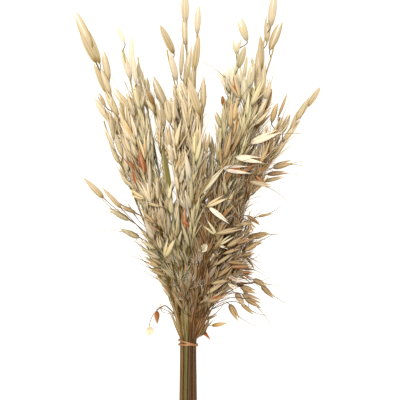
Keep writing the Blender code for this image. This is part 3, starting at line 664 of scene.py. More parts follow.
class TakenRoom:
    """The room that is taken, as tapered rods, each with its stem's number."""

    def __init__(self) -> None:
        """Starts empty."""
        self.rods = np.zeros((0, 8))
        self.owner = np.zeros(0, int)
        self.body = np.zeros(0, bool)

    def add(self, rods: Array, owner: int, first_body: int) -> None:
        """Takes room.

        Args:
            rods: the rods.
            owner: their stem's number.
            first_body: from which of them on they are a spikelet's body. Those before it are its branch.
        """
        self.rods = np.vstack([self.rods, rods])
        self.owner = np.append(self.owner, np.full(len(rods), owner))
        self.body = np.append(self.body, np.arange(len(rods)) >= first_body)

    def is_clear(self, rods: Array, owner: int, first_body: int, overlap: float = 0.0) -> bool:
        """Whether new rods fit.

        Args:
            rods: the new spikelet or leaf.
            owner: its stem's number.
            first_body: its first rod that isn't a branch.
            overlap: how far its body may press into other stems' spikelets, for papery husks that give way.

        Returns:
            True if they are clear of every other stem's, and nearly clear of their sisters' bodies.
        """
        lo = np.minimum(rods[:, :3], rods[:, 4:7]).min(0) - OAT.near
        hi = np.maximum(rods[:, :3], rods[:, 4:7]).max(0) + OAT.near
        near = (np.maximum(self.rods[:, :3], self.rods[:, 4:7]) > lo).all(1)
        near &= (np.minimum(self.rods[:, :3], self.rods[:, 4:7]) < hi).all(1)
        other, own = near & (self.owner != owner), near & (self.owner == owner) & self.body
        if overlap:
            rods, first_body = rods[first_body:], 0
        if other.any() and rod_gaps(rods, self.rods[other]).min() < OAT.margin - overlap:
            return False
        if not own.any():
            return True
        return bool(rod_gaps(rods[first_body:], self.rods[own]).min() > -OAT.sister_overlap)


@dataclass(frozen=True)
class CurlSizes:
    """The thin side shoot on the left that curls down, with a spikelet and a rolled scrap of leaf at its
    end."""

    path: Spots = ((-18, 40), (-24, 42), (-30, 40.5), (-34.5, 37))
    thread: Spots = ((-38, 33), (-41.5, 25), (-42.6, 17.5))
    aim: float = -88
    size: float = 15
    scrap: Span = (-42, 15)
    scrap_r: float = 3.6 * MM


CURL = CurlSizes()
LEAF_OUTLINE = np.array([0.5, 1, 0.9, 0.6, 0.15])
LEAF_SLOPES = (0.05, 0.15, 0.25, 0.35, -0.05)
LEAF_SAG = 0.12


@dataclass(frozen=True)
class Blade:
    """A dried blade on its stem: its centre line, its half width along it, the way of its width, how dry
    and bleached it is, and from where to where along a husk's colours its own go."""

    path: Array
    half: Array
    broad: Array
    dry: float = 0.35
    bleach: float = 0.0
    tint: Span = (0.0, 0.06)


class BundleLayout:
    """Where every stem, leaf and large spikelet of the bundle lies, drawn in the CAD source's order."""

    def __init__(self) -> None:
        """Lays out the whole bundle."""
        self.rng = np.random.default_rng(11)
        lines, ends = stem_lines(HEADS, self.rng)
        cuts = SIZES.cut_y + self.rng.integers(-2, 3, len(HEADS)) * SIZES.cut_step
        self.stems = [StemLine(h, line, e, c) for h, line, e, c in zip(HEADS, lines, ends, cuts)]
        self.spikelets: list[list[Spikelet]] = [[] for _ in HEADS]
        self.leaves: list[list[Blade]] = [[] for _ in HEADS]
        self.scraps: list[list[tuple[Array, Scrap]]] = [[] for _ in HEADS]
        self.room = TakenRoom()
        for i, stem in enumerate(self.stems):
            self.room.add(stem.rods(), i, len(stem.ys))
        start = CURL.path[0][1] * MM
        self.curl_stem = int(np.argmin([s.at(start)[0] for s in self.stems]))
        self.curl_z = float(self.stems[self.curl_stem].at(start)[2])
        self.place_curl()
        self.place_leaves()
        self.place_strays(STRAYS)
        self.place_panicles()
        self.place_strays(STRAYS_ON_TOP)

    def centre(self, y: float) -> Array:
        """The middle of the bundle at y."""
        return np.mean([s.at(y) for s in self.stems if s.end > y], axis=0)

    def keep(self, spikelet: Spikelet, stem: int) -> None:
        """Takes the spikelet's room and files it under its stem."""
        self.room.add(spikelet.rods(), stem, len(spikelet.branch) - 1)
        self.spikelets[stem].append(spikelet)

    def place_curl(self) -> None:
        """The thin side shoot on the left, with its hanging spikelet, and the thread down to the scrap."""
        stem, z = self.stems[self.curl_stem], self.curl_z
        aim = math.radians(CURL.aim)
        path = [stem.at((CURL.path[0][1] - 8) * MM)]
        path += [np.array([x * MM, y * MM, z]) for x, y in CURL.path[1:]]
        self.shoot = np.array(path)
        way = np.array([math.cos(aim), math.sin(aim), 0])
        spikelet = make_spikelet(path, way, CURL.size * MM, 0.3, self.rng)
        self.keep(replace(spikelet, dry=1.35, decided=True, spread=2.0), self.curl_stem)
        start = path[-1] * 0.7 + path[-2] * 0.3
        self.thread = np.array([start] + [(x * MM, y * MM, z) for x, y in CURL.thread])
        rods = [(*p, OAT.branch_r, *q, OAT.branch_r) for p, q in zip(self.thread[:-1], self.thread[1:])]
        scrap = np.array(CURL.scrap) * MM
        rods.append((*scrap, z, CURL.scrap_r, *(scrap + 0.1 * MM), z, CURL.scrap_r))
        self.room.add(np.array(rods), self.curl_stem, 0)

    def place_leaves(self) -> None:
        """Each leaf blade, arching out from the nearest stem where it finds room."""
        for leaf in LEAVES:
            root_at = np.array([leaf.side, leaf.length]) * MM
            able = [i for i, s in enumerate(self.stems) if s.end > root_at[1]]
            able.sort(key=lambda i: abs(self.stems[i].at(root_at[1])[0] - root_at[0]))
            self.place_leaf(leaf, float(root_at[1]), able[:8])

    def place_leaf(self, leaf: Leaf, root_y: float, able: list[int]) -> None:
        """Tries stems and slopes for one leaf until it is clear.

        Args:
            leaf: the leaf.
            root_y: where it grows from its stem.
            able: the stems it may grow from, the nearest first.
        """
        aim = math.radians(leaf.aim)
        share = np.linspace(0, 1, len(LEAF_OUTLINE))[:, None]
        half = leaf.wide * MM / 2 * LEAF_OUTLINE
        sag = np.array([0, 0, -LEAF_SAG * leaf.size * MM])
        for slope in LEAF_SLOPES:
            for i in able:
                root = self.stems[i].at(root_y)
                reach = np.array([math.cos(aim), math.sin(aim), slope]) * leaf.size * MM
                path = root + reach * share + sag * share**2
                rods = np.column_stack([path[:-1], half[:-1], path[1:], half[1:]])
                rods[0, 3] = OAT.branch_r
                if path[:, 2].min() > half.max() and self.room.is_clear(rods, i, 0):
                    self.room.add(rods, i, 0)
                    self.leaves[i].append(Blade(path, half, unit(np.cross(reach, (0, 0, 1)))))
                    return

    def side_way(self, along: Array, turn: float) -> Array:
        """The direction square to along, turned round it from level."""
        level = unit(np.cross(along, (0, 0, 1)))
        return level * math.cos(turn) + np.cross(level, along) * math.sin(turn)

    def place_strays(self, strays: tuple[Stray, ...], pressed: float = 0.0) -> None:
        """The spikelets that stand clear of the rest, each on the nearest stem that its branch can reach.

        Args:
            strays: the spikelets.
            pressed: how far they may press into what they lie on.
        """
        for stray in strays:
            spot = np.array([stray.side, stray.length, 0]) * MM
            able = [i for i, s in enumerate(self.stems) if s.end > stray.root * MM]
            able = [i for i in able if stray.tone in (None, self.stems[i].head.tone)]
            able.sort(key=lambda i: np.linalg.norm(self.stems[i].at(stray.root * MM) - spot))
            self.place_stray(stray, spot, able[:12], pressed)

    def roof(self, start: Array, end: Array, reach: float = 3 * MM) -> float:
        """The greatest height that is taken near a line, seen from above.

        Args:
            start: where the line starts.
            end: where it ends.
            reach: how far to each side of it counts.

        Returns:
            The height.
        """
        lo, hi = np.minimum(start, end)[:2] - reach, np.maximum(start, end)[:2] + reach
        ends = np.vstack([self.room.rods[:, :3], self.room.rods[:, 4:7]])
        inside = (ends[:, :2] > lo).all(1) & (ends[:, :2] < hi).all(1)
        return float(ends[inside, 2].max()) if inside.any() else BAND_Z

    def place_stray(self, stray: Stray, spot: Array, able: list[int], pressed: float) -> None:
        """Tries heights and stems for one stray until it is clear. One that may press in starts lower.

        Args:
            stray: the spikelet.
            spot: its base's place on the table.
            able: the stems its branch may grow from, the nearest first.
            pressed: how far it may press into what it lies on.
        """
        aim = math.radians(stray.aim)
        way = np.array([math.cos(aim), math.sin(aim), 0.06 if stray.on_top else -0.05])
        top = self.roof(spot, spot + way * stray.size * MM)
        for lift in np.arange(-7.5 if pressed else 0, 40, 1.5) * MM:
            for i in able:
                root = self.stems[i].at(stray.root * MM)
                base = spot + (0, 0, top + lift if stray.on_top else root[2] + lift)
                middle = (root + base) / 2 + BRANCH_ARCH
                made = settle(make_spikelet([root, middle, base], way, stray.size * MM, 0.2, self.rng))
                if self.room.is_clear(made.rods(), i, 2, pressed):
                    names = ("husk", "dry", "bleach", "awns", "spread", "rust")
                    self.keep(replace(made, decided=True, **{n: getattr(stray, n) for n in names}), i)
                    return
        log.info("no room for the spikelet at %g, %g", stray.side, stray.length)

    def place_panicles(self) -> None:
        """The large spikelets of every panicle, from the tips down, one round of all stems at a time."""
        for k in range(max(h.spikelets for h in HEADS)):
            for i, stem in enumerate(self.stems):
                if k < stem.head.spikelets:
                    self.place_spikelet(i, stem, k)

    def place_spikelet(self, i: int, stem: StemLine, k: int) -> None:
        """Draws branches for one spikelet until one is clear of everything else.

        Args:
            i: the stem's number.
            stem: its centre line.
            k: the spikelet's number, from the tip down.
        """
        head, rng = stem.head, self.rng
        down = k / max(1, head.spikelets - 1)
        if k == 0:
            along = stem.way(stem.end)
            branch = [stem.at(stem.end - 3 * MM), stem.at(stem.end) + along * MM]
            size, roll = SIZES.terminal * rng.uniform(0.97, 1.03), rng.uniform(-0.6, 0.6)
            self.keep(settle(make_spikelet(branch, along, size, roll, rng)), i)
            return
        size = rng.uniform(*LENGTHS[head.habit]) * MM
        for attempt in range(OAT.tries):
            at = max(OAT.panicle_low, stem.end - head.panicle * MM * down**0.9) + rng.uniform(-5, 5) * MM
            root, along = stem.at(at), stem.way(at)
            out = self.side_way(along, k * GOLDEN + i + rng.uniform(-0.5, 0.5) * (1 + attempt / 8))
            outward = unit(root - self.centre(at))
            if head.habit != UP and (out @ outward < 0.1 or abs(out[2]) > 0.7):
                continue
            reach = (OAT.branch[0] + (OAT.branch[1] - OAT.branch[0]) * down) * rng.uniform(0.6, 1.25)
            angle = math.radians(rng.uniform(*ROOT_ANGLES[head.habit]))
            base = root + (along * math.cos(angle) + out * math.sin(angle)) * (reach + 2 * MM)
            way = along * math.cos(angle * 0.6) + out * math.sin(angle * 0.6)
            if head.habit == NOD:
                aim = math.radians(rng.uniform(*NOD_AIMS))
                way = np.array([math.cos(aim), math.sin(aim), rng.uniform(-0.2, 0.15)])
            branch = [root - out * OAT.sink, base]
            made = settle(make_spikelet(branch, way, size, rng.uniform(-0.9, 0.9), rng))
            if made.base[2] > OAT.branch_r and self.room.is_clear(made.rods(), i, 1):
                self.keep(made, i)
                return


@dataclass(frozen=True)
class Opening:
    """A place where the table shows between the groups of stems: its middle from the band, half its width
    and half its length, in mm, and its lean in degrees to the right."""

    side: float
    length: float
    half_wide: float
    half_long: float
    lean: float = 0.0

    def holds(self, point: Array) -> bool:
        """Whether the point lies in it, seen from above.

        Args:
            point: the point.

        Returns:
            True if it does.
        """
        x, y = float(point[0]) / MM - self.side, float(point[1]) / MM - self.length
        turn = math.radians(self.lean)
        across = x * math.cos(turn) - y * math.sin(turn)
        up = x * math.sin(turn) + y * math.cos(turn)
        return (across / self.half_wide) ** 2 + (up / self.half_long) ** 2 < 1


@dataclass
class Dresser:
    """One that dresses the layout, with random draws of its own."""

    layout: BundleLayout
    seed: int = 0

    def __post_init__(self) -> None:
        """Starts the draws."""
        self.rng = np.random.default_rng(self.seed)


INFILL_PER_CM = {UP: 2.6, OUT: 3.6, NOD: 3.2}
INFILL_LENGTHS = {UP: (17, 32), OUT: (15, 28), NOD: (14, 24)}


@dataclass
class Infill(Dresser):
    """The finer spikelets that make a panicle full, INFILL_PER_CM to each 10 mm of it and INFILL_LENGTHS mm
    long: how slim they are beside the large ones, how far they may press into each other, and how high they
    may lie. The edges of the mass are places from the band in mm, as length and side, or for the top edge
    as side and length."""

    slim: Span = (0.5, 1.0)
    lowest_root: float = 29 * MM
    overlap: float = 1.1 * MM
    highest: float = 73 * MM
    trimmed_below: float = 170 * MM
    tries: int = 36
    seed: int = 23
    left_edge: Spots = (
        (20, -17), (45, -21), (60, -24), (75, -29), (100, -40), (130, -46), (150, -49), (172, -58),
        (190, -65), (212, -74), (230, -84), (250, -90), (300, -108),
    )
    right_edge: Spots = (
        (20, 18), (45, 34), (55, 44), (70, 57), (90, 67), (105, 67), (130, 64), (150, 61), (160, 65),
        (190, 81), (250, 117), (300, 150),
    )
    top_edge: Spots = (
        (-100, 250), (-82, 268), (-66, 272), (-58, 290), (-52, 296), (-41, 282), (-30, 268), (-9, 284),
        (8, 282), (17, 262), (26, 212), (37, 262), (45, 289), (56, 296), (80, 292), (91, 271), (105, 252),
        (121, 242),
    )
    openings: tuple[Opening, ...] = (
        Opening(-31, 194, 5.4, 26, -12), Opening(-17.5, 178, 4.2, 34, -8), Opening(-40, 242, 5, 28, -18),
        Opening(22, 252, 7, 34, 4),
    )

    def inside(self, point: Array) -> bool:
        """Whether the point lies between the mass's edges and in no opening, seen from above.

        Args:
            point: the point.

        Returns:
            True if it does.
        """
        x, y = point[0] / MM, point[1] / MM
        left = float(np.interp(y, *zip(*self.left_edge)))
        right = float(np.interp(y, *zip(*self.right_edge)))
        return left < x < right and not any(o.holds(point) for o in self.openings)

    def open_to(self, point: Array) -> bool:
        """Whether a large spikelet may stay there: in no opening, and low down between the edges too.

        Args:
            point: the point.

        Returns:
            True if it may.
        """
        if point[1] < self.trimmed_below:
            return self.inside(point)
        return not any(o.holds(point) for o in self.openings)

    def below_top(self, point: Array) -> bool:
        """Whether the point lies under the mass's top edge, seen from above."""
        return bool(point[1] / MM < np.interp(point[0] / MM, *zip(*self.top_edge)))

    def stays(self, s: Spikelet) -> bool:
        """Whether a large spikelet stays: it is already dressed, or passes no edge and hides no opening."""
        if s.decided:
            return True
        middle, tip = (s.base + s.way * s.length * share for share in (0.5, 0.9))
        return self.below_top(tip) and self.open_to(middle)

    def clear(self) -> None:
        """Takes out the spikelets that don't stay. The crown's plumes take the place of those at the top."""
        for spikelets in self.layout.spikelets:
            spikelets[:] = [s for s in spikelets if self.stays(s)]

    def fill(self) -> int:
        """Adds them to the layout, one round of all stems at a time.

        Returns:
            How many found room.
        """
        wanted = [int(h.panicle / 10 * INFILL_PER_CM[h.habit]) for h in HEADS]
        grown = 0
        for k in range(max(wanted)):
            for i, stem in enumerate(self.layout.stems):
                if k < wanted[i]:
                    grown += self.grow(i, stem, k)
        return grown

    def grow(self, i: int, stem: StemLine, k: int) -> bool:
        """Draws branches for one more spikelet of stem i until one fits.

        Args:
            i: the stem's number.
            stem: its centre line.
            k: the count of this spikelet, which turns it round the stem.

        Returns:
            Whether it found room.
        """
        head, layout, rng = stem.head, self.layout, self.rng
        low, high = ROOT_ANGLES[head.habit]
        for _ in range(self.tries):
            down = 0.08 + rng.uniform(0, 1) ** 0.6
            at = max(self.lowest_root, stem.end - head.panicle * MM * down + rng.uniform(-8, 6) * MM)
            root, along = stem.at(at), stem.way(at)
            out = layout.side_way(along, k * GOLDEN + rng.uniform(-2, 2))
            if head.habit != UP and (out @ unit(root - layout.centre(at)) < 0 or abs(out[2]) > 0.8):
                continue
            angle = math.radians(rng.uniform(low * 0.6, high * 1.4))
            reach = (3 + 24 * down) * rng.uniform(0.4, 1.3) * MM
            base = root + (along * math.cos(angle) + out * math.sin(angle)) * (reach + 2 * MM)
            lean = angle * rng.uniform(-0.2, 1.1)
            way = along * math.cos(lean) + out * math.sin(lean) + rng.normal(0, 0.12 + 0.15 * down, 3)
            if head.habit == NOD:
                aim = math.radians(rng.uniform(*NOD_AIMS))
                way = np.array([math.cos(aim), math.sin(aim), rng.uniform(-0.25, 0.2)])
            size = rng.uniform(*INFILL_LENGTHS[head.habit]) * MM
            made = make_spikelet([root - out * OAT.sink, base], way, size, rng.uniform(0, math.pi), rng)
            slim = rng.uniform(*self.slim)
            made = settle(replace(made, half_wide=made.half_wide * slim, half_thick=made.half_thick * slim))
            tip = made.base + made.way * size
            if made.base[2] < OAT.branch_r or max(made.base[2], tip[2]) > self.highest:
                continue
            if not (self.inside(made.base) and self.inside(tip) and self.below_top(tip)):
                continue
            if layout.room.is_clear(made.rods(), i, 1, self.overlap):
                layout.keep(made, i)
                return True
        return False


@dataclass
class Crown(Dresser):
    """The leading tips, where long slim plumes grow, a share of them with split tips."""

    root_below: float = 8 * MM
    split: float = 0.3
    drier: float = 0.28
    seed: int = 41

    def dress(self) -> None:
        """Places the plumes."""
        for plume in PLUMES:
            self.place(plume)

    def place(self, plume: Plume) -> None:
        """Places one plume on the stem whose axis passes nearest to its foot, at that stem's height and
        slope.

        Args:
            plume: the plume.
        """
        rng, stems = self.rng, self.layout.stems
        foot, tip = (np.array([*p, 0.0]) * MM for p in (plume.foot, plume.tip))
        near = [s.at(min(float(foot[1]), s.end)) for s in stems]
        i = int(np.argmin([np.linalg.norm((p - foot)[:2]) for p in near]))
        size = float(np.linalg.norm(tip - foot))
        foot[2] = near[i][2] + rng.uniform(-1, 3) * MM
        tip[2] = foot[2] + stems[i].way(stems[i].end)[2] * size + rng.normal(0, 1) * MM
        way = unit(tip - foot)
        root = stems[i].at(min(float(foot[1]) - self.root_below, stems[i].end - MM))
        half = plume.wide / 2 * MM
        sizes = (size, half, half * OAT.thick_share, half * 0.3)
        husk = SPLIT if plume.husk is CLOSED and rng.uniform() < self.split else plume.husk
        looks = {"husk": husk, "dry": plume.dry + self.drier, "bleach": plume.bleach, "rust": plume.rust}
        broad = unit(np.cross(way, (0, 0, 1)))
        made = Spikelet(np.array([root, foot]), way, broad, *sizes, decided=True, plume=True, **looks)
        self.layout.keep(settle(made), i)


@dataclass
class Skirt(Dresser):
    """The dead blades that clasp the stems between the band and the feet of the panicles. Their dark brown
    is partly their own dry colour and partly painted shade for the deep gaps between the stems. For each box
    how many and its corners (side, length, side, length), and the ranges of their lengths and widths, in mm."""

    boxes: tuple[tuple[int, float, float, float, float], ...] = (
        (45, -14, 16, 18, 58), (90, -17, 40, 29, 108), (70, 3, 30, 14, 104), (34, 8, 88, 31, 142),
        (44, 12, 105, 27, 175), (9, 8, 8, 12, 24),
    )
    size: Span = (20, 48)
    wide: Span = (0.9, 2.8)
    clear_of_band: float = 5 * MM
    # The dark foot end of a husk's colours: partly the blades' own colour, partly painted shade between the
    # stems.
    tint: Span = (0.0, 0.35)
    seed: int = 31

    def grow(self) -> None:
        """Adds the blades to the layout. Each runs from a stem through its middle's place."""
        rng, stems = self.rng, self.layout.stems
        share = np.linspace(0, 1, len(LEAF_OUTLINE))[:, None]
        for box in [box for box in self.boxes for _ in range(box[0])]:
            middle = rng.uniform(box[1:3], box[3:5]) * MM
            size = rng.uniform(*self.size) * MM
            root_y = max(self.clear_of_band, float(middle[1]) - size * 0.5)
            able = [i for i, s in enumerate(stems) if s.end > root_y + 20 * MM]
            at = np.array([stems[i].at(root_y) for i in able])
            away = np.abs(at[:, 0] - middle[0]) - at[:, 2] * 0.5 + rng.uniform(0, 3, len(able)) * MM
            pick = int(np.argmin(away))
            i, root = able[pick], at[pick]
            rise = stems[i].way(root_y)[2] + rng.uniform(0, 0.12)
            reach = unit(np.array([middle[0] - root[0], middle[1] - root_y + MM, rise * size * 0.5])) * size
            arch = np.sin(share * math.pi) * (0, 0, rng.uniform(0, 0.1) * size)
            path = root + reach * share + arch
            half = rng.uniform(*self.wide) * MM / 2 * LEAF_OUTLINE
            turn = rng.uniform(-0.7, 0.7)
            level = unit(np.cross(reach, (0, 0, 1)))
            broad = level * math.cos(turn) + np.cross(level, unit(reach)) * math.sin(turn)
            # Drawn dry and brown: partly the blades' own colour, partly painted shade in the gaps between
            # the stems.
            dry, bleach = rng.uniform(0.8, 1.1), max(0.0, rng.uniform(-0.9, 0.15))
            self.layout.leaves[i].append(Blade(path, half, broad, float(dry), float(bleach), self.tint))


def drop_scraps(layout: BundleLayout) -> None:
    """Lays each scrap on top of what it is caught in, and files it under the nearest green stem.

    Args:
        layout: the bundle.
    """
    for scrap in SCRAPS:
        spot = np.array([scrap.side, scrap.length, 0]) * MM
        able = [i for i, s in enumerate(layout.stems) if s.end > spot[1] and s.head.tone is GREEN]
        i = min(able, key=lambda k: abs(layout.stems[k].at(spot[1])[0] - spot[0]))
        spot[2] = layout.roof(spot, spot, scrap.radius * 0.7 * MM)
        layout.scraps[i].append((spot, scrap))


def rise_over(value: float, span: float) -> float:
    """From 0 at a value of nothing up to 1 at the span, and level beyond both."""
    return float(np.clip(value / span, 0, 1))


@dataclass
class Drying(Dresser):
    """How the spikelets have dried and opened: slim and pale to the left, wild, brown and awned to the
    right. A few places, from the band in mm, have gone rusty, and a few browner by a share."""

    seed: int = 5
    wild_side: float = 26 * MM
    wild_top: float = 225 * MM
    wild_below: float = 112 * MM
    brown_below: float = 215 * MM
    pale_above: float = 235 * MM
    gaping_over: float = 0.93
    parted_over: float = 0.45
    rusty: Spots = (
        (-60, 193), (-49, 196), (-1, 134), (-22, 62), (63, 190), (64, 120),
    )
    rusty_reach: float = 5.5 * MM
    browned: tuple[tuple[float, float, float], ...] = (
        (12, 194, 0.6), (13, 172, 0.7), (15, 150, 0.6), (18, 126, 0.5), (-74, 216, 0.3), (-30, 112, 0.3),
        (-8, 74, 0.3), (60, 226, 0.2), (38, 150, 0.35), (8, 75, 0.5), (4, 50, 0.4), (-62, 196, 0.35),
        (-52, 176, 0.35), (45, 90, 0.3), (50, 120, 0.3),
    )
    browned_reach: float = 13 * MM

    def decide(self) -> None:
        """Gives every spikelet that hasn't got it yet its opening, dryness, bleach, awns and hairs."""
        for head, spikelets in zip(HEADS, self.layout.spikelets):
            for k, s in enumerate(spikelets):
                draw = self.rng.uniform(0, 1, 6)
                if not s.decided:
                    spikelets[k] = self.dried(s, head.tone, draw)

    def dried(self, s: Spikelet, tone: Tone, draw: Array) -> Spikelet:
        """One spikelet with its looks.

        Args:
            s: the spikelet.
            tone: its stem's tone.
            draw: six random numbers from 0 to 1.

        Returns:
            The spikelet with its looks filled in.
        """
        x, y = float(s.base[0]), float(s.base[1])
        wild = rise_over(x - self.wild_side, 22 * MM) * rise_over(self.wild_top - y, 40 * MM)
        wild = max(wild, 0.55 * rise_over(self.wild_below - y, 30 * MM))
        low = rise_over(self.brown_below - y, 130 * MM)
        openness = draw[0] + 0.35 * wild + 0.2 * low
        husk = GAPING if openness > self.gaping_over else PARTED if openness > self.parted_over else CLOSED
        dry = {STRAW: 0.16, GREEN: 0.1, TAN: 0.25}[tone] + 0.45 * wild + 0.5 * low
        middle = s.base + s.way * s.length * 0.4
        for a, b, more in self.browned:
            away = math.hypot(middle[0] - a * MM, middle[1] - b * MM) / self.browned_reach
            dry += more * math.exp(-(away**2))
        dry = float(np.clip(dry + (draw[1] - 0.5) * 0.5, 0, 1))
        near = min(math.hypot(middle[0] - a * MM, middle[1] - b * MM) for a, b in self.rusty)
        if near < self.rusty_reach:
            dry = 1 + 0.9 * (1 - near / self.rusty_reach)
        bleach = max(0.0, draw[2] - 0.7) * 2.2 * (1 - 0.4 * wild) * (1 - 0.6 * low)
        bleach += 0.3 * rise_over(y - self.pale_above, 50 * MM)
        chances = (0.1 + 0.5 * wild, 0.06 + 0.4 * wild, 0.3 * wild)
        awns = sum(int(drawn < chance) for drawn, chance in zip(draw[[3, 4, 1]], chances))
        hairy = bool(draw[5] < 0.6 * wild)
        return replace(s, husk=husk, dry=dry, bleach=float(bleach), awns=awns, hairy=hairy)


def linear(hex_colour: str) -> tuple[float, float, float, float]:
    """An sRGB hex colour as linear red, green, blue and alpha."""
    parts = [int(hex_colour[k : k + 2], 16) / 255 for k in (1, 3, 5)]
    red, green, blue = [c / 12.92 if c <= 0.04045 else ((c + 0.055) / 1.055) ** 2.4 for c in parts]
    return red, green, blue, 1.0


CREST = 95 * MM
SKIN = 0.05 * MM
GROWTH_UV = "growth_uv"
GROWTH = "growth"
CHANCE_STEP = 60.0


class Shader:
    """A material while its nodes are put together."""

    def __init__(self, name: str) -> None:
        """Starts the material without nodes."""
        self.material = bpy.data.materials.new(name)
        self.material.use_nodes = True
        self.tree = self.material.node_tree
        self.tree.nodes.clear()

    def put(
        self, kind: str, links: tuple | dict, stops: tuple[tuple[float, str], ...] = (), **settings: object
    ) -> Node:
        """Adds a node with its settings and links.

        Args:
            kind: the node's type, without ShaderNode.
            links: what each input takes, by name or in order: a value, a socket, or a node, which
                stands for its first output. Only sockets in use count.
            stops: the places and hex colours of a colour ramp.
            settings: the node's attributes.

        Returns:
            The node.
        """
        node = self.tree.nodes.new("ShaderNode" + kind)
        for name, value in settings.items():
            setattr(node, name, value)
        for number, (place, colour) in enumerate(stops):
            stretch = node.color_ramp.elements
            while len(stretch) < len(stops):
                stretch.new(0.5)
            stretch[number].position = place
            stretch[number].color = linear(colour)
        if isinstance(links, tuple):
            links = dict(zip([k for k, socket in enumerate(node.inputs) if socket.enabled], links))
        for name, value in links.items():
            if isinstance(value, Node):
                value = next(socket for socket in value.outputs if socket.enabled)
            if isinstance(value, NodeSocket):
                self.tree.links.new(value, node.inputs[name])
            else:
                node.inputs[name].default_value = value
        return node

    def growth(self) -> tuple[NodeSocket, ...]:
        """The surface's own values: across and along from its UV map, then dryness, bleach and chance."""
        place = self.put("SeparateXYZ", (self.put("UVMap", (), uv_map=GROWTH_UV),))
        grown = self.put("Attribute", (), attribute_name=GROWTH).outputs["Vector"]
        return (*place.outputs[:2], *self.put("SeparateXYZ", (grown,)).outputs)

    def grain(self, growth: tuple, stretch: Span, scale: float, detail: float) -> Node:
        """A noise drawn out along the surface, different for each chance.

        Args:
            growth: the surface's own values.
            stretch: what across and along are multiplied by.
            scale: the noise's scale.
            detail: the noise's detail.

        Returns:
            The noise.
        """
        pairs = zip((growth[0], growth[1], growth[4]), (*stretch, CHANCE_STEP))
        at = self.put("CombineXYZ", tuple(self.put("Math", pair, operation="MULTIPLY") for pair in pairs))
        return self.put("TexNoise", {"Vector": at, "Scale": scale, "Detail": detail})

    def done(self, surface: Node) -> Material:
        """The material with this surface."""
        self.put("OutputMaterial", (surface,))
        return self.material

    def satin(
        self, colour: object, height: object, deep: float, rough: float, ior: float, shine: float
    ) -> Material:
        """The material with a soft gloss over small bumps.

        Args:
            colour: its colour.
            height: the bumps.
            deep: how deep they are.
            rough: its roughness.
            ior: its index of refraction.
            shine: its specular level.

        Returns:
            The material.
        """
        return self.done(self.put("BsdfPrincipled", {
            "Base Color": colour, "Roughness": rough, "IOR": ior, "Specular IOR Level": shine,
            "Normal": self.put("Bump", {"Strength": 0.3, "Distance": deep, "Height": height}),
        }))


@dataclass(frozen=True)
class HuskFinish:
    """Oat glume: dry papery chaff, thin enough for light to pass, with raised nerves from base to tip.

    The eye sees a satin straw colour that is darkest and greenest at the base and almost white at the tip.
    A glume has nine nerves about 0.5 mm apart. They are drawn three to a glume, 1.8 mm apart, because
    closer ones are finer than the render shows."""

    name: str
    foot: str
    body: str
    upper: str
    tip: str
    brown: str
    nerve: str
    rust: str = "#a44f1a"
    bleached: str = "#f6f2ea"
    lit_through: str = "#fff0bc"
    nerves: float = 3.0
    vein: float = 0.6
    thin: float = 0.44
    margin: float = 0.6

    def make(self) -> Material:
        """The material."""
        shader = Shader(self.name)
        put, growth = shader.put, shader.growth()
        across, along, dry, bleach, _ = growth
        streaks = shader.grain(growth, (2.2, 1.1), 2.4, 3.0)
        turns = put("Math", (across, self.nerves * math.tau), operation="MULTIPLY")
        swing = put("Math", (streaks, 1.6, turns), operation="MULTIPLY_ADD")
        wave = put("Math", (put("Math", (swing,), operation="COSINE"), 0.5, 0.5), operation="MULTIPLY_ADD")
        nerves = put("Math", (wave, 2.4), operation="POWER")
        stops = ((0.03, self.foot), (0.18, self.body), (0.6, self.upper), (1.0, self.tip))
        colour = put("ValToRGB", (along,), stops)
        patchy = put("Math", (streaks, 0.8, 0.5), operation="MULTIPLY_ADD")
        browned = put("Math", (dry, 1.4), operation="POWER")
        browned = put("Math", (browned, patchy), operation="MULTIPLY", use_clamp=True)
        faded = put("Math", (along, -0.35, 1.0), operation="MULTIPLY_ADD")
        browned = put("Math", (browned, faded), operation="MULTIPLY")
        veined = put("Math", (along, -0.36, self.vein), operation="MULTIPLY_ADD")
        veined = put("Math", (nerves, veined), operation="MULTIPLY")
        rusted = put("Math", (dry, 1.6, -1.6), operation="MULTIPLY_ADD", use_clamp=True)
        faded = put("Math", (along, -0.2, 1.0), operation="MULTIPLY_ADD")
        rusted = put("Math", (rusted, faded), operation="MULTIPLY")
        edge = put("Math", (across, 2.0, -1.0), operation="MULTIPLY_ADD")
        edge = put("Math", (put("Math", (edge,), operation="ABSOLUTE"), 6.0), operation="POWER")
        edge = put("Math", (edge, self.margin), operation="MULTIPLY")
        edge = put("Math", (edge, bleach), operation="SUBTRACT", use_clamp=True)
        coats = (
            (browned, self.brown), (veined, self.nerve), (bleach, self.bleached), (rusted, self.rust),
            (edge, self.tip),
        )
        for share, stain in coats:
            colour = put("Mix", (share, colour, linear(stain)), data_type="RGBA")
        bump = put("Bump", {"Strength": 0.35, "Distance": 0.25 * MM, "Height": nerves})
        skin = put("BsdfPrincipled", {
            "Base Color": colour, "Roughness": put("MapRange", (streaks, 0.0, 1.0, 0.42, 0.68)), "IOR": 1.45,
            "Specular IOR Level": 0.04, "Normal": bump,
        })
        unbleached = put("Math", (bleach, -1.0, 1.0), operation="MULTIPLY_ADD", use_clamp=True)
        tint = (unbleached, colour, linear(self.lit_through))
        warm = put("Mix", tint, data_type="RGBA", blend_type="MULTIPLY")
        glow = put("BsdfTranslucent", {"Color": warm, "Normal": bump})
        through = put("Math", (bleach, 0.25, self.thin), operation="MULTIPLY_ADD", use_clamp=True)
        return shader.done(put("MixShader", (through, skin, glow)))


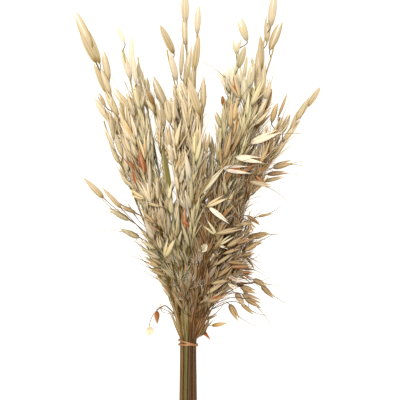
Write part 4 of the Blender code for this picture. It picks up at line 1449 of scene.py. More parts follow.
@dataclass(frozen=True)
class FloretFinish:
    """Oat lemma and awn: hard, slightly glossy husk round the grain, golden to rust brown, with a dark
    foot. The bristle that grows from it is dark brown and twisted below its bend and straw above."""

    name: str
    foot: str
    body: str
    tip: str
    rust: str
    bleached: str = "#efe3c8"

    def make(self) -> Material:
        """The material."""
        shader = Shader(self.name)
        put, growth = shader.put, shader.growth()
        grain = shader.grain(growth, (3.0, 1.0), 4.0, 3.0)
        colour = put("ValToRGB", (growth[1],), ((0.0, self.foot), (0.3, self.body), (1.0, self.tip)))
        ripe = put("Math", (growth[2], 1.1, -0.5), operation="MULTIPLY_ADD", use_clamp=True)
        patchy = put("Math", (grain, 1.2, 0.2), operation="MULTIPLY_ADD")
        rusted = put("Math", (ripe, patchy), operation="MULTIPLY", use_clamp=True)
        colour = put("Mix", (rusted, colour, linear(self.rust)), data_type="RGBA")
        colour = put("Mix", (growth[3], colour, linear(self.bleached)), data_type="RGBA")
        shade = (put("Math", (grain, 0.35), operation="MULTIPLY"), colour, linear(self.foot))
        colour = put("Mix", shade, data_type="RGBA", blend_type="MULTIPLY")
        return shader.satin(colour, grain, 0.2 * MM, 0.5, 1.47, 0.12)


@dataclass(frozen=True)
class CulmFinish:
    """Oat straw: a waxy, lengthwise-grooved tube that shines along its length, browner low down and paler
    towards its panicle. Its grooves are 0.25 mm apart. They are drawn at about 1 mm, because finer ones
    don't show."""

    name: str
    young: str
    ripe: str
    groove: str
    dead: str = "#4a3820"

    def make(self) -> Material:
        """The material."""
        shader = Shader(self.name)
        put, growth = shader.put, shader.growth()
        lines = shader.grain(growth, (5.0, 14.0), 1.6, 4.0)
        height = put("Math", (growth[1], -1.8, 1.3), operation="MULTIPLY_ADD")
        mottled = put("Math", (lines, 0.6, height), operation="MULTIPLY_ADD")
        ripeness = put("Math", (growth[2], mottled), operation="ADD", use_clamp=True)
        colour = put("Mix", (ripeness, linear(self.young), linear(self.ripe)), data_type="RGBA")
        sharp = put("MapRange", (lines, 0.42, 0.62, 0.5, 0.0))
        colour = put("Mix", (sharp, colour, linear(self.groove)), data_type="RGBA")
        colour = put("Mix", (growth[3], colour, linear(self.dead)), data_type="RGBA")
        return shader.satin(colour, lines, 0.2 * MM, 0.42, 1.47, 0.15)


@dataclass(frozen=True)
class RubberFinish:
    """Natural rubber band, calendered and cut: tan, a little cloudy, with a soft gloss and fine wrinkles
    across it where it is stretched, about 1 mm apart."""

    name: str = "natural_rubber"
    deep: str = "#5c3a1a"
    light: str = "#8a5c30"

    def make(self) -> Material:
        """The material."""
        shader = Shader(self.name)
        place = shader.put("TexCoord", ()).outputs["Object"]
        cloud = shader.put("TexNoise", {"Vector": place, "Scale": 260.0, "Detail": 3.0})
        wrinkle = shader.put("TexNoise", {"Vector": place, "Scale": 900.0, "Detail": 1.0})
        colour = shader.put("Mix", (cloud, linear(self.deep), linear(self.light)), data_type="RGBA")
        return shader.satin(colour, wrinkle, 0.15 * MM, 0.48, 1.52, 0.5)


HUSKS = {
    STRAW: HuskFinish("straw_glume", "#92763a", "#dccfa6", "#e6dabd", "#e6dab8", "#785520", "#866832"),
    GREEN: HuskFinish("green_glume", "#7d7540", "#d3c898", "#e0d6b4", "#e2dab6", "#6e5220", "#7a713a"),
    TAN: HuskFinish("tan_glume", "#5a3a16", "#c6a468", "#dabf8c", "#dcc9a2", "#523012", "#503210"),
}
FLORETS = {
    STRAW: FloretFinish("straw_floret", "#4e3a22", "#a07a42", "#d4ba86", "#8f4f22"),
    GREEN: FloretFinish("green_floret", "#4e422a", "#a38a50", "#d3c08e", "#a05c28"),
    TAN: FloretFinish("tan_floret", "#3c2a1a", "#74491f", "#b08a56", "#854418"),
}
CULMS = {
    STRAW: CulmFinish("straw_culm", "#c0b280", "#5a421b", "#38280f"),
    GREEN: CulmFinish("green_culm", "#bab382", "#4f451d", "#35301a"),
    TAN: CulmFinish("tan_culm", "#8c6f3e", "#462d12", "#2c1c0a"),
}


def placed(data: ID) -> Object:
    """A mesh, light or camera as an object of its name, at the origin."""
    obj = bpy.data.objects.new(data.name, data)
    bpy.context.scene.collection.objects.link(obj)
    return obj


@dataclass
class MeshBatch:
    """Closed shells gathered for one piece: points, faces, the two UV values and the three growth values of
    each point, and each face's material."""

    points: list[Array] = field(default_factory=list)
    spots: list[Array] = field(default_factory=list)
    grown: list[Array] = field(default_factory=list)
    corners: list[Array] = field(default_factory=list)
    sizes: list[Array] = field(default_factory=list)
    slots: list[Array] = field(default_factory=list)
    count: int = 0

    def add(self, grid: Array, across: Array, along: Array, grown: Array, slot: int) -> None:
        """Adds shells that are closed round each ring and at both ends.

        Args:
            grid: points, as shells by rings by places round the ring by three.
            across: the first UV value of each place round the ring.
            along: the second UV value of each ring, or of each shell and ring.
            grown: dryness, bleach and chance of each shell.
            slot: the number of their material.
        """
        shells, rings, sides = grid.shape[:3]
        index = np.arange(shells * rings * sides).reshape(shells, rings, sides)
        turned = np.roll(index, -1, axis=2)
        quads = np.stack([index[:, :-1], turned[:, :-1], turned[:, 1:], index[:, 1:]], axis=-1)
        quads = quads.reshape(shells, -1, 4)
        caps = np.stack([index[:, 0, ::-1], index[:, -1]], axis=1)
        flat = grid.reshape(-1, 3)
        middle = grid.mean(axis=(1, 2))[:, None]
        a, b, c, d = (flat[quads[:, :, k]] - middle for k in range(4))
        volume = (a * np.cross(b, c)).sum((1, 2)) + (a * np.cross(c, d)).sum((1, 2))
        inside_out = volume < 0
        quads[inside_out] = quads[inside_out][:, :, ::-1]
        caps[inside_out] = caps[inside_out][:, :, ::-1]
        self.points.append(flat)
        spots = np.stack(np.broadcast_arrays(across, along[..., None]), axis=-1)
        self.spots.append(np.broadcast_to(spots, (shells, rings, sides, 2)).reshape(-1, 2))
        self.grown.append(np.broadcast_to(grown[:, None, None], (shells, rings, sides, 3)).reshape(-1, 3))
        self.corners += [quads.ravel() + self.count, caps.ravel() + self.count]
        self.sizes += [np.full(quads.size // 4, 4), np.full(caps.size // sides, sides)]
        self.slots.append(np.full(quads.size // 4 + caps.size // sides, slot))
        self.count += len(flat)

    def add_tubes(
        self, paths: Array, radii: Array, sides: int, along: Array, grown: Array, slot: int
    ) -> None:
        """Adds round tubes along paths. What it takes is as for tubes and for add."""
        self.add(tubes(paths, radii, sides), mirrored(sides), along, grown, slot)

    def piece(self, name: str, materials: list[Material], sharp: float = 50) -> Object:
        """The piece as an object at the origin, smooth but for edges sharper than an angle.

        Args:
            name: the piece's name.
            materials: its materials, by slot number.
            sharp: the angle in degrees.

        Returns:
            The object, on the model's body.
        """
        corners, sizes = np.concatenate(self.corners), np.concatenate(self.sizes)
        mesh = bpy.data.meshes.new(name)
        mesh.vertices.add(self.count)
        mesh.vertices.foreach_set("co", np.concatenate(self.points).astype(np.float32).ravel())
        mesh.loops.add(len(corners))
        mesh.loops.foreach_set("vertex_index", corners.astype(np.int32))
        mesh.polygons.add(len(sizes))
        starts = np.concatenate([[0], np.cumsum(sizes)[:-1]])
        mesh.polygons.foreach_set("loop_start", starts.astype(np.int32))
        mesh.polygons.foreach_set("material_index", np.concatenate(self.slots).astype(np.int32))
        mesh.update(calc_edges=True)
        layer = mesh.uv_layers.new(name=GROWTH_UV)
        layer.data.foreach_set("uv", np.concatenate(self.spots)[corners].astype(np.float32).ravel())
        grown = mesh.attributes.new(GROWTH, "FLOAT_VECTOR", "POINT")
        grown.data.foreach_set("vector", np.concatenate(self.grown).astype(np.float32).ravel())
        mesh.shade_smooth()
        mesh.set_sharp_from_angle(angle=math.radians(sharp))
        for material in materials:
            mesh.materials.append(material)
        obj = placed(mesh)
        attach(obj, "root")
        log.info("%s: %d faces", name, len(sizes))
        return obj


def tubes(paths: Array, radii: Array, sides: int) -> Array:
    """Round tubes along paths: each point plus radius times (cos t times one side way, plus sin t times the
    other).

    Args:
        paths: centre lines, as tubes by points by three.
        radii: the radius at each point of each tube.
        sides: how many places round each ring.

    Returns:
        The points, as tubes by rings by sides by three.
    """
    ways = unit(np.gradient(paths, axis=1))
    whole = unit(paths[:, -1] - paths[:, 0])
    helper = np.eye(3)[np.abs(whole).argmin(axis=1)][:, None]
    across = unit(helper - ways * (ways * helper).sum(2, keepdims=True))
    other = np.cross(ways, across)
    turns = np.arange(sides) * math.tau / sides
    ring = np.cos(turns)[:, None] * across[:, :, None] + np.sin(turns)[:, None] * other[:, :, None]
    return paths[:, :, None] + ring * radii[:, :, None, None]


def mirrored(sides: int) -> Array:
    """The first UV value round a ring, out and back so that it has no seam."""
    turns = np.arange(sides) / sides
    return 1 - np.abs(2 * turns - 1)


def laid(points: Array, least: float) -> Array:
    """The points, none lower than least above the table nor higher than the bundle's crest."""
    kept = points.copy()
    kept[..., 2] = np.clip(kept[..., 2], least, CREST)
    return kept


def bezier(a: Array, b: Array, c: Array, d: Array, steps: int) -> Array:
    """Cubic curves: a (1 - t) cubed, plus 3 b t (1 - t) squared, plus 3 c t squared (1 - t), plus d t
    cubed.

    Args:
        a: where each curve starts.
        b: its first handle.
        c: its second handle.
        d: where it ends.
        steps: how many points it has.

    Returns:
        The points, as curves by steps by three.
    """
    t = np.linspace(0, 1, steps)[None, :, None]
    a, b, c, d = (p[:, None] for p in (a, b, c, d))
    return a * (1 - t) ** 3 + 3 * b * t * (1 - t) ** 2 + 3 * c * t**2 * (1 - t) + d * t**3


def smooth_path(points: Array, steps: int) -> Array:
    """A curve through the points, each stretch a Catmull-Rom cubic.

    Args:
        points: the points to pass through.
        steps: how many points the curve has.

    Returns:
        The curve's points, evenly spread over the stretches.
    """
    padded = np.vstack([2 * points[0] - points[1], points, 2 * points[-1] - points[-2]])
    t = np.linspace(0, len(points) - 1, steps)
    k = np.minimum(t.astype(int), len(points) - 2)
    f = (t - k)[:, None]
    p0, p1, p2, p3 = (padded[k + j] for j in range(4))
    bent = (2 * p0 - 5 * p1 + 4 * p2 - p3) * f**2 + (3 * p1 - p0 - 3 * p2 + p3) * f**3
    return p1 + (p2 - p0) * f / 2 + bent / 2


@dataclass(frozen=True)
class HuskShape:
    """The shape of one glume, a boat with a keel: where its rings stand, where the places round each ring
    lie across it, and how far out from its margins they stand. The last place is the hollow inside."""

    along: tuple[float, ...] = (0.0, 0.07, 0.18, 0.34, 0.52, 0.7, 0.86, 1.0)
    across: tuple[float, ...] = (-1.0, -0.62, 0.0, 0.62, 1.0, 0.0)
    back: tuple[float, ...] = (0.0, 0.74, 1.0, 0.74, 0.0, 0.66)

    def outline(self, rise: float, fall: float, least: float) -> Array:
        """The half width at each ring v: v to the power rise times (1 - v) to the power fall, scaled to 1
        where widest, and no less than least.

        Args:
            rise: the power it grows by from the foot.
            fall: the power it shrinks by towards the tip.
            least: the half width at both ends.

        Returns:
            The half widths.
        """
        v = np.array(self.along)
        widest = rise / (rise + fall)
        return least + (1 - least) * v**rise * (1 - v) ** fall / (widest**rise * (1 - widest) ** fall)


HUSK_SHAPE = HuskShape()
GAPES = {
    CLOSED: (0.02, 0.14), SPLIT: (0.08, 0.24), PARTED: (0.25, 0.6), GAPING: (0.8, 1.5), EMPTY: (0.9, 1.5),
}
SLOT_CULM, SLOT_HUSK, SLOT_FLORET = 0, 1, 2


class Panicle:
    """The spikelets and branches of one stem, as arrays over all its spikelets."""

    def __init__(self, spikelets: list[Spikelet], rng: Draws, batch: MeshBatch) -> None:
        """Gathers the spikelets' places and looks.

        Args:
            spikelets: the spikelets.
            rng: the stem's random draws.
            batch: where the meshes go.
        """

        def each(name: str) -> Array:
            """One field of every spikelet."""
            return np.array([getattr(s, name) for s in spikelets])

        self.rng, self.batch, self.spikelets, self.count = rng, batch, spikelets, len(spikelets)
        self.way, self.broad, self.plume = each("way"), each("broad"), each("plume")
        self.flat = unit(np.cross(self.way, self.broad))
        base, decided, size = each("base"), each("decided"), each("length")
        high = np.clip((base[:, 1] - 150 * MM) / (100 * MM), 0, 1)
        self.length = size * np.where(decided, 1.0, rng.uniform(1.0, 1.12, self.count) + 0.1 * high)
        self.base = base - self.way * ((self.length - size) * 0.5)[:, None]
        self.wide = each("half_wide") * each("spread") * rng.uniform(0.88, 1.08, self.count)
        self.deep = self.wide * rng.uniform(0.6, 0.8, self.count)
        self.wide[self.plume] *= 1.2
        self.frayed = ~decided
        low, high = np.array([GAPES[s.husk] for s in spikelets]).T
        self.gape = self.wide * rng.uniform(low, high)
        self.bend = self.length * rng.normal(0, 0.09, self.count) * np.where(decided, 0.5, 1.0)
        shut = np.array([s.husk is CLOSED for s in spikelets])
        self.side_on = ~shut | (rng.uniform(0, 1, self.count) < 0.35)
        self.filled = np.array([s.husk in (PARTED, GAPING) for s in spikelets])
        self.awned, self.hairy = each("awns"), each("hairy")
        chance = rng.uniform(0, 1, self.count)
        dry, bleach, rust = each("dry"), each("bleach"), each("rust")
        self.grown = np.column_stack([dry, bleach, chance])
        self.rusted = rust > 0
        self.seed_grown = np.column_stack([dry + rust, np.where(self.rusted, 0, bleach), chance])

    def build(self) -> None:
        """Adds glumes, florets, awns, hairs and branches to the stem's batch."""
        self.glumes(1.0, 1.0)
        self.glumes(-1.0, OAT.short_glume)
        self.florets()
        self.slivers()
        self.awns()
        self.hairs()
        self.branches()

    def draw(self, low: float, high: float, count: int) -> Array:
        """Random numbers from low to high, in a column."""
        return self.rng.uniform(low, high, (count, 1))

    def outward(self, some: Array) -> Array:
        """A random way square to each of some spikelets."""
        turn = self.draw(0, math.tau, int(some.sum()))
        return self.broad[some] * np.cos(turn) + self.flat[some] * np.sin(turn)

    def glumes(self, side: float, share: float) -> None:
        """One glume of every spikelet, a keeled boat.

        A point is the base, plus way times length times v, plus keel way times (gape times v to the power
        1.6, plus depth times outline times back), plus margin way times (half width times outline times
        across), plus a bend that grows with v squared.

        Args:
            side: 1 for the glume on the broad side's way, and -1 for the other.
            share: its length as a share of the spikelet's.
        """
        v = np.array(HUSK_SHAPE.along)
        across, back = np.array(HUSK_SHAPE.across), np.array(HUSK_SHAPE.back)
        slim, full = HUSK_SHAPE.outline(0.65, 0.8, 0.04), HUSK_SHAPE.outline(0.6, 1.2, 0.03)
        outline = np.where(self.plume[:, None], slim, full)
        pick = self.side_on[:, None]
        keel = np.where(pick, self.broad, self.flat) * side
        margin = np.where(pick, self.flat, self.broad)
        depth = np.where(self.side_on, self.wide, self.deep)
        half = np.where(self.side_on, self.deep, self.wide)
        opened = self.gape[:, None, None] * (v**1.6)[:, None]
        outward = opened + depth[:, None, None] * outline[:, :, None] * back
        sideways = half[:, None, None] * outline[:, :, None] * across
        curve = self.bend[:, None, None] * (v**2)[:, None]
        centre = self.base[:, None] + self.way[:, None] * (self.length[:, None] * v * share)[:, :, None]
        grid = centre[:, :, None] + keel[:, None, None] * outward[..., None]
        grid = grid + margin[:, None, None] * sideways[..., None]
        grid = grid + self.flat[:, None, None] * curve[..., None]
        along = v * np.where(self.plume, 0.72, 1.0)[:, None]
        self.batch.add(laid(grid, SKIN), (across + 1) / 2, along, self.grown, SLOT_HUSK)

    def florets(self) -> None:
        """The florets inside the parted spikelets: spindles with five sides."""
        some = self.filled
        if not some.any():
            return
        v = np.array([0.0, 0.15, 0.4, 0.7, 1.0])
        plump = np.array([0.12, 0.75, 1.0, 0.6, 0.06])
        length = self.length[some, None]
        for reach, lean in ((0.78, 0.16), (0.56, -0.3)):
            tilt = lean * self.gape[some, None] / self.wide[some, None] * 0.6
            way = unit(self.way[some] + self.broad[some] * tilt)
            start = self.base[some] + self.way[some] * length * 0.1
            path = start[:, None] + way[:, None] * (length * v * reach)[:, :, None]
            radii = self.deep[some, None] * plump * np.where(self.rusted[some, None], 1.0, 0.72)
            grid = laid(tubes(path, radii, 5), SKIN)
            self.batch.add(grid, mirrored(5), v, self.seed_grown[some], SLOT_FLORET)

    def slivers(self) -> None:
        """Narrow sterile husks that stand beside the lower, opened spikelets, as slim tubes."""
        for share in (0.7, 0.5, 0.3):
            some = (self.rng.uniform(0, 1, self.count) < share) & self.filled & self.frayed
            if not some.any():
                continue
            out, count = self.outward(some), int(some.sum())
            way = unit(self.way[some] + out * self.draw(0.05, 0.4, count))
            length = self.length[some, None] * self.draw(0.6, 1.15, count)
            v = np.linspace(0, 1, 5)
            path = self.base[some, None] + way[:, None] * (length * v)[:, :, None]
            path = path + out[:, None] * (length * 0.08 * v**2)[:, :, None]
            radii = np.broadcast_to(np.array([0.2, 0.55, 0.6, 0.4, 0.06]) * MM, (count, 5))
            pale = self.grown[some] * (0.8, 1, 1) + (0, 0.1, 0)
            self.batch.add_tubes(laid(path, 0.4 * MM), radii, 3, v * 0.8 + 0.2, pale, SLOT_HUSK)

    def awns(self) -> None:
        """The bristles: the first of a spikelet is dark, and the others are pale. Each is straight past its
        bend."""
        for number in (1, 2, 3):
            some = self.awned >= number
            if not some.any():
                return
            count = int(some.sum())
            length, way, wild = self.length[some, None], self.way[some], self.frayed[some, None]
            side = self.broad[some] * self.rng.choice([-1.0, 1.0], (count, 1))
            start = self.base[some] + way * length * 0.3 + side * self.deep[some, None] * 0.4
            knee = self.base[some] + way * length * self.draw(0.95, 1.15, count)
            knee = knee + side * (self.gape[some, None] * 0.8 + 0.5 * MM)
            turned = way + side * self.draw(0.2, 0.9, count)
            turned = unit(turned + self.flat[some] * self.rng.normal(0, 0.2, (count, 1)))
            end = knee + turned * length * (self.draw(0.5, 1.1, count) * np.where(wild, 0.9, 0.95))
            bow = bezier(start, knee - way * length * 0.25, knee + turned * length * 0.1, end, 7)
            radii = np.linspace(0.4, 0.16, 7) * MM * np.where(wild, 1.0, 1.3)
            along, look, slot = np.linspace(0.0, 0.1, 7), self.grown[some] * (0.2, 0, 1), SLOT_FLORET
            if number > 1:
                along, slot = np.linspace(0.4, 0.9, 7), SLOT_HUSK
                look = self.grown[some] * (0.5, 0, 1) + (0, 0.12, 0)
            self.batch.add_tubes(laid(bow, 0.3 * MM), radii, 3, along, look, slot)

    def hairs(self) -> None:
        """White silky hairs at the foot of the wild florets, as slivers that spread round the spikelet."""
        some = self.hairy
        if not some.any():
            return
        count, length = int(some.sum()), self.length[some, None]
        for _ in range(7):
            out = self.outward(some)
            start = self.base[some] + self.way[some] * length * self.rng.uniform(0.1, 0.35)
            way = unit(self.way[some] + out * self.draw(0.3, 0.8, count))
            end = start + way * length * self.draw(0.35, 0.6, count)
            path = laid(np.stack([start, (start + end) / 2 + out * 0.6 * MM, end], axis=1), 0.2 * MM)
            radii = np.broadcast_to(np.array([0.2, 0.17, 0.08]) * MM, (count, 3))
            pale = self.grown[some] * (0.2, 0, 1) + (0, 0.95, 0)
            self.batch.add_tubes(path, radii, 3, np.array([0.5, 0.8, 1.0]), pale, SLOT_HUSK)

    def branches(self) -> None:
        """The hair-thin branches: cubic curves from the stem to each spikelet, a little thicker at both
        ends."""
        start = np.array([s.branch[0] for s in self.spikelets])
        middle = np.array([
            s.branch[len(s.branch) // 2] if len(s.branch) > 2 else (s.branch[0] + s.base) / 2
            for s in self.spikelets
        ])
        reach = np.linalg.norm(self.base - start, axis=1, keepdims=True)
        end = self.base + self.way * 0.4 * MM
        path = laid(bezier(start, middle, end - self.way * reach * 0.35, end, 6), 0.35 * MM)
        stout = np.clip(reach / (40 * MM), 0, 1) * 0.2 + np.where(self.plume[:, None], 0.3, 0.0)
        radii = (np.array([0.36, 0.27, 0.23, 0.21, 0.23, 0.4]) + stout) * MM
        grown = self.grown * (1, 0, 1)
        grown[:, 0] -= np.clip((reach[:, 0] - 14 * MM) / (14 * MM), 0, 1)
        self.batch.add_tubes(path, radii, 3, np.linspace(0, 0.2, 6), grown, SLOT_CULM)


def rolled_scrap(batch: MeshBatch, middle: Array, scrap: Scrap) -> None:
    """A scrap of leaf that has dried into a shallow cup with a rolled rim.

    A point is the middle, plus radius times (cos t, breadth times sin t) times a reach, plus a height, all
    turned. From the middle of the floor the reach goes out to the rim and back inside it, and the height is
    a dish that curls over.

    Args:
        batch: where it goes.
        middle: its middle.
        scrap: its size and looks.
    """
    rim = 0.9 - scrap.curl * 0.4
    reach = np.array([0.03, 0.45, 0.8, 0.98, 1.0, 0.9, rim, 0.88, 0.93, 0.86, 0.7, 0.4, 0.03])
    height = np.array([-0.1, -0.06, 0.05, 0.25, 0.45, 0.62, 0.55, 0.5, 0.38, 0.2, 0.1, 0.0, -0.04])
    radius, turn = scrap.radius * MM, math.radians(scrap.turn)
    t = np.linspace(0, math.tau, 14, endpoint=False)
    wave = 1 + 0.12 * np.sin(2 * t + 0.6) + 0.07 * np.sin(3 * t + scrap.side)
    x = reach[:, None] * np.cos(t) * wave * radius
    y = reach[:, None] * np.sin(t) * wave * radius * scrap.breadth
    z = height[:, None] * min(radius * scrap.breadth, 4 * MM) * (0.8 + 0.35 * np.sin(t + 1))
    turned = [x * math.cos(turn) - y * math.sin(turn), x * math.sin(turn) + y * math.cos(turn), z]
    grid = laid(middle + np.stack(turned, axis=-1), SKIN)
    along = np.concatenate([np.linspace(0.3, 0.8, 7), np.linspace(0.8, 0.3, 6)])
    grown = np.array([[scrap.dry, scrap.bleach, 0.4]])
    batch.add(grid[None], (np.sin(t) * 0.35 + 1) / 2, along, grown, SLOT_HUSK)


@dataclass
class OatStem:
    """One oat plant: its culm with knots, its leaves and its panicle. It replaces one CAD node."""

    number: int
    layout: BundleLayout
    sides: int = 8
    ring_step: float = 7 * MM
    smooth_over: float = 12 * MM
    knot_step: Span = (95 * MM, 150 * MM)
    knot_swell: float = 0.22
    knot_long: float = 2.6 * MM
    hollow: float = 0.62
    leaf_spread: float = 1.3
    leaf_steps: int = 13
    leaf_twist: float = 0.6
    leaf_thick: float = 0.35 * MM
    tip_radius: float = 0.85 * MM

    def __post_init__(self) -> None:
        """Names the piece and starts its mesh and its own random draws."""
        self.node = f"oat_stem_{self.number + 1:02d}"
        self.stem = self.layout.stems[self.number]
        self.rng = np.random.default_rng(900 + self.number)
        self.batch = MeshBatch()

    def centre_line(self) -> Array:
        """The culm's centre: the layout's line, averaged over a short stretch to round its corners."""
        stem = self.stem
        count = max(8, int((stem.end - stem.ys[0]) / self.ring_step))
        y = np.linspace(stem.ys[0], stem.end, count)
        window = np.linspace(-self.smooth_over, self.smooth_over, 9)
        sample = y[:, None] + window * np.minimum(1, (y - y[0]) / self.smooth_over)[:, None]
        sample = np.minimum(sample, stem.end)
        x = np.interp(sample, stem.ys, stem.xs).mean(1)
        z = np.interp(sample, stem.ys, stem.zs).mean(1)
        return np.column_stack([x, y, z])

    def culm(self) -> None:
        """The straw tube, its radius swollen by a bell curve at each knot, with a hollow cut end."""
        line, stem, rng = self.centre_line(), self.stem, self.rng
        radii = np.maximum(SIZES.radius_at(line[:, 1], stem.end), self.tip_radius)
        at = float(line[0, 1]) + rng.uniform(30, 110) * MM
        swell = np.zeros(len(line))
        while at < stem.end - stem.head.panicle * MM * 0.9:
            swell += np.exp(-(((line[:, 1] - at) / self.knot_long) ** 2))
            at += rng.uniform(*self.knot_step)
        free = np.clip((np.abs(line[:, 1]) - 14 * MM) / (8 * MM), 0, 1)
        radii = radii * (1 + self.knot_swell * swell * free)
        inner = line[:1] + (line[1:2] - line[:1]) * np.array([[0.9], [0.02]])
        line = np.vstack([inner, line])
        radii = np.concatenate([[radii[0] * self.hollow] * 2, radii])
        line[1] = line[2] - (line[3] - line[2]) * 0.002
        dry = {STRAW: 0.55, GREEN: 0.3, TAN: 0.75}[stem.head.tone]
        grown = np.array([[dry + rng.uniform(-0.2, 0.2), 0, rng.uniform(0, 1)]])
        along = np.linspace(0, 1, len(line))
        self.batch.add_tubes(line[None], radii[None], self.sides, along, grown, SLOT_CULM)

    def leaf(self, blade: Blade) -> None:
        """One dried blade: a thin strip along a smooth path, folded along its middle and twisted towards
        its tip.

        Args:
            blade: the blade.
        """
        line = laid(smooth_path(blade.path, self.leaf_steps), 0.5 * MM)
        share = np.linspace(0, 1, self.leaf_steps)
        wide = np.interp(share, np.linspace(0, 1, len(blade.half)), blade.half) * self.leaf_spread
        wide[-1] *= 0.3
        ways = unit(np.gradient(line, axis=0))
        side = unit(blade.broad - ways * (ways @ blade.broad)[:, None])
        face = np.cross(ways, side)
        twist = self.leaf_twist * share[:, None] ** 2
        turned = side * np.cos(twist) + face * np.sin(twist)
        face = face * np.cos(twist) - side * np.sin(twist)
        across = np.array([-1.0, -0.5, 0.0, 0.5, 1.0, 0.5, 0.0, -0.5])
        fold = np.abs(across) * 0.45
        thick = np.array([0, 0.5, 0.5, 0.5, 0, -0.5, -0.5, -0.5]) * self.leaf_thick
        grid = line[:, None] + turned[:, None] * (wide[:, None] * across)[..., None]
        grid = grid + face[:, None] * (wide[:, None] * fold + thick)[..., None]
        grown = np.array([[blade.dry, blade.bleach, self.rng.uniform(0, 1)]])
        along = np.interp(share, (0, 1), blade.tint)
        self.batch.add(laid(grid, SKIN)[None], (across + 1) / 2, along, grown, SLOT_HUSK)

    def thread(self, points: Array, radius: float, steps: int, sides: int, look: tuple[float, ...]) -> None:
        """A round thread through the points.

        Args:
            points: what it passes through.
            radius: its radius.
            steps: how many rings it has.
            sides: how many places round each.
            look: its dryness, bleach and chance, and how far along a culm's colours it goes.
        """
        line, along = smooth_path(points, steps)[None], np.linspace(0, look[3], steps)
        radii, grown = np.full((1, steps), radius), np.array([look[:3]])
        self.batch.add_tubes(line, radii, sides, along, grown, SLOT_CULM)

    def curl(self) -> None:
        """The thread below the curled shoot, and the rolled scrap of leaf at its end."""
        self.thread(self.layout.shoot, 0.62 * MM, 14, 5, (0.9, 0.9, 0.3, 0.4))
        self.thread(self.layout.thread, 0.4 * MM, 14, 5, (0.9, 0.2, 0.3, 0.4))
        middle = np.array([*(np.array(CURL.scrap) * MM), self.layout.curl_z])
        rolled_scrap(self.batch, middle, Scrap(*CURL.scrap, 3.9, 1.3, 0, 0.35, 0.25, 0.3))

    def caught(self, middle: Array, scrap: Scrap) -> None:
        """A scrap caught in the panicle, with the thin stalk that holds it.

        Args:
            middle: its middle.
            scrap: its size and looks.
        """
        root = self.stem.at(float(middle[1]) - 18 * MM)
        knee = (root + middle) / 2 + (0, 0, 4 * MM)
        self.thread(np.array([root, knee, middle]), 0.3 * MM, 8, 3, (0.7, 0.0, 0.5, 0.3))
        rolled_scrap(self.batch, middle, scrap)

    def build(self, materials: dict[Tone, list[Material]]) -> Object:
        """Builds and dresses the piece.

        Args:
            materials: culm, husk and floret materials by tone.

        Returns:
            The piece.
        """
        self.culm()
        Panicle(self.layout.spikelets[self.number], self.rng, self.batch).build()
        for blade in self.layout.leaves[self.number]:
            self.leaf(blade)
        for middle, scrap in self.layout.scraps[self.number]:
            self.caught(middle, scrap)
        if self.number == self.layout.curl_stem:
            self.curl()
        tone = self.stem.head.tone
        obj = self.batch.piece(f"oats_{self.number + 1:02d}", materials[tone])
        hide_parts(self.node)
        return obj


@dataclass(frozen=True)
class ElasticBand:
    """The rubber band round the stems, in two turns that run apart on the left and cross on the right."""

    steps: int = 72
    sides: int = 12
    flat: float = 1.35
    ripple: float = 0.15 * MM
    apart: float = 0.05 * MM

    def turn(self, ends: Span, wider: float) -> Array:
        """One turn, a rounded square section carried round the stems.

        The centre line is a circle in x and z, whose y goes from one place on the right to one on the left
        with the cosine of the turn.

        Args:
            ends: its places along the stems on the left and on the right.
            wider: how much further out it lies than the CAD band.

        Returns:
            The points, as rings by places round the section by three.
        """
        left, right = ends
        t = np.linspace(0, math.tau, self.steps, endpoint=False)
        way = np.column_stack([np.sin(t), np.zeros(self.steps), -np.cos(t)])
        y = right + (left - right) * (1 - way[:, 0]) / 2 + self.ripple * np.sin(5 * t)
        radius = PACK_R + BAND.gap + BAND.thick / 2 + wider
        s = np.linspace(0, math.tau, self.sides, endpoint=False)
        bulge = 1 / (np.abs(np.cos(s)) ** 4 + np.abs(np.sin(s)) ** 4) ** 0.25
        out, up = np.cos(s) * bulge * BAND.thick / 2 * 0.92, np.sin(s) * bulge * BAND.wide / 2 * self.flat
        grid = way[:, None] * (radius + out)[None, :, None]
        grid[..., 1] = y[:, None] + up
        grid[..., 2] += BAND_Z
        return grid

    def build(self) -> Object:
        """Builds and dresses the band.

        Returns:
            The piece.
        """
        turns = [self.turn(BAND.level, 0.0), self.turn(BAND.leaning, self.apart)]
        points = np.concatenate([turn.reshape(-1, 3) for turn in turns])
        index = np.arange(self.steps * self.sides).reshape(self.steps, self.sides)
        ahead = np.roll(index, -1, axis=0)
        quads = np.stack([np.roll(index, -1, axis=1), np.roll(ahead, -1, axis=1), ahead, index], axis=-1)
        quads = quads.reshape(-1, 4)
        faces = np.concatenate([quads, quads + index.size])
        mesh = bpy.data.meshes.new("band_turns")
        mesh.from_pydata(points.tolist(), [], faces.tolist())
        mesh.shade_smooth()
        mesh.materials.append(RubberFinish().make())
        obj = placed(mesh)
        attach(obj, "root")
        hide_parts("elastic_band")
        log.info("band_turns: %d faces", len(faces))
        return obj


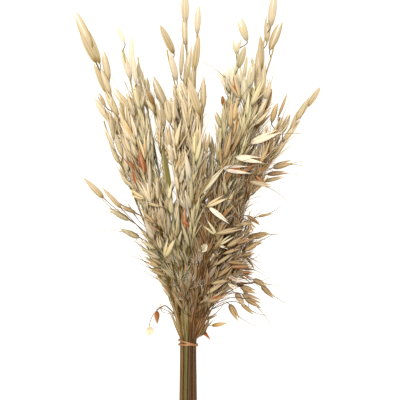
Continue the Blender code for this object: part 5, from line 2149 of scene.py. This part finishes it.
@dataclass(frozen=True)
class Studio:
    """A plain pale floor, soft light from all round and a large key light, and a camera that looks straight
    down. The floor glows softly, so it looks white."""

    floor_side: float = 6.0
    floor_colour: str = "#706f6d"
    floor_rough: float = 0.95
    glow_colour: str = "#fff9f2"
    glow: float = 0.96
    sky_colour: str = "#fff7e6"
    sky: float = 1.0
    key: float = 5.4
    key_angle: float = math.radians(20)
    key_tilt: float = math.radians(-8)
    photo_side: float = 0.432
    aim: tuple[float, float, float] = (0.013, 0.158, 0.045)
    height: float = 2.6
    sensor: float = 36

    def floor(self) -> Object:
        """The floor, one flat square just under the bundle."""
        half = self.floor_side / 2
        mesh = bpy.data.meshes.new("floor")
        corners = [(-half, -half, 0), (half, -half, 0), (half, half, 0), (-half, half, 0)]
        mesh.from_pydata(corners, [], [(0, 1, 2, 3)])
        paper = Shader("matt_paper")
        mesh.materials.append(paper.done(paper.put("BsdfPrincipled", {
            "Base Color": linear(self.floor_colour), "Roughness": self.floor_rough,
            "Emission Color": linear(self.glow_colour), "Emission Strength": self.glow,
        })))
        obj = placed(mesh)
        return obj

    def lights(self) -> None:
        """An even pale sky, and a wide soft sun from just beside the camera."""
        scene = bpy.context.scene
        scene.world = bpy.data.worlds.new("studio")
        scene.world.use_nodes = True
        sky = scene.world.node_tree.nodes["Background"]
        sky.inputs[0].default_value = linear(self.sky_colour)
        sky.inputs[1].default_value = self.sky
        sun = bpy.data.lights.new("key", "SUN")
        sun.energy = self.key
        sun.angle = self.key_angle
        placed(sun).rotation_euler = (self.key_tilt, self.key_tilt, 0)

    def camera(self) -> None:
        """The camera, above the bundle's middle, framed as the photograph is."""
        data = bpy.data.cameras.new("camera")
        data.sensor_width = self.sensor
        data.lens = self.sensor * self.height / self.photo_side
        data.clip_end = 50
        obj = placed(data)
        x, y, z = self.aim
        obj.location = (x, y, z + self.height)
        bpy.context.scene.camera = obj

    def build(self) -> None:
        """Sets the stage and the view transform."""
        self.floor()
        self.lights()
        self.camera()
        bpy.context.scene.view_settings.view_transform = "Standard"
        log.info("studio is set")


def main() -> None:
    """Lays out the bundle, builds each piece in order and sets the stage."""
    logging.basicConfig(level=logging.INFO, format="%(message)s")
    layout = BundleLayout()
    large = sum(len(s) for s in layout.spikelets)
    infill = Infill(layout)
    infill.clear()
    Crown(layout).dress()
    layout.place_strays(ACCENTS, infill.overlap)
    fine = infill.fill()
    layout.place_strays(ACCENTS_ON_TOP, infill.overlap)
    Skirt(layout).grow()
    drop_scraps(layout)
    log.info("%d large spikelets and %d finer ones", large, fine)
    Drying(layout).decide()
    materials = {t: [CULMS[t].make(), HUSKS[t].make(), FLORETS[t].make()] for t in Tone}
    for number in range(len(HEADS)):
        OatStem(number, layout).build(materials)
    ElasticBand().build()
    Studio().build()


if __name__ == "__main__":
    main()
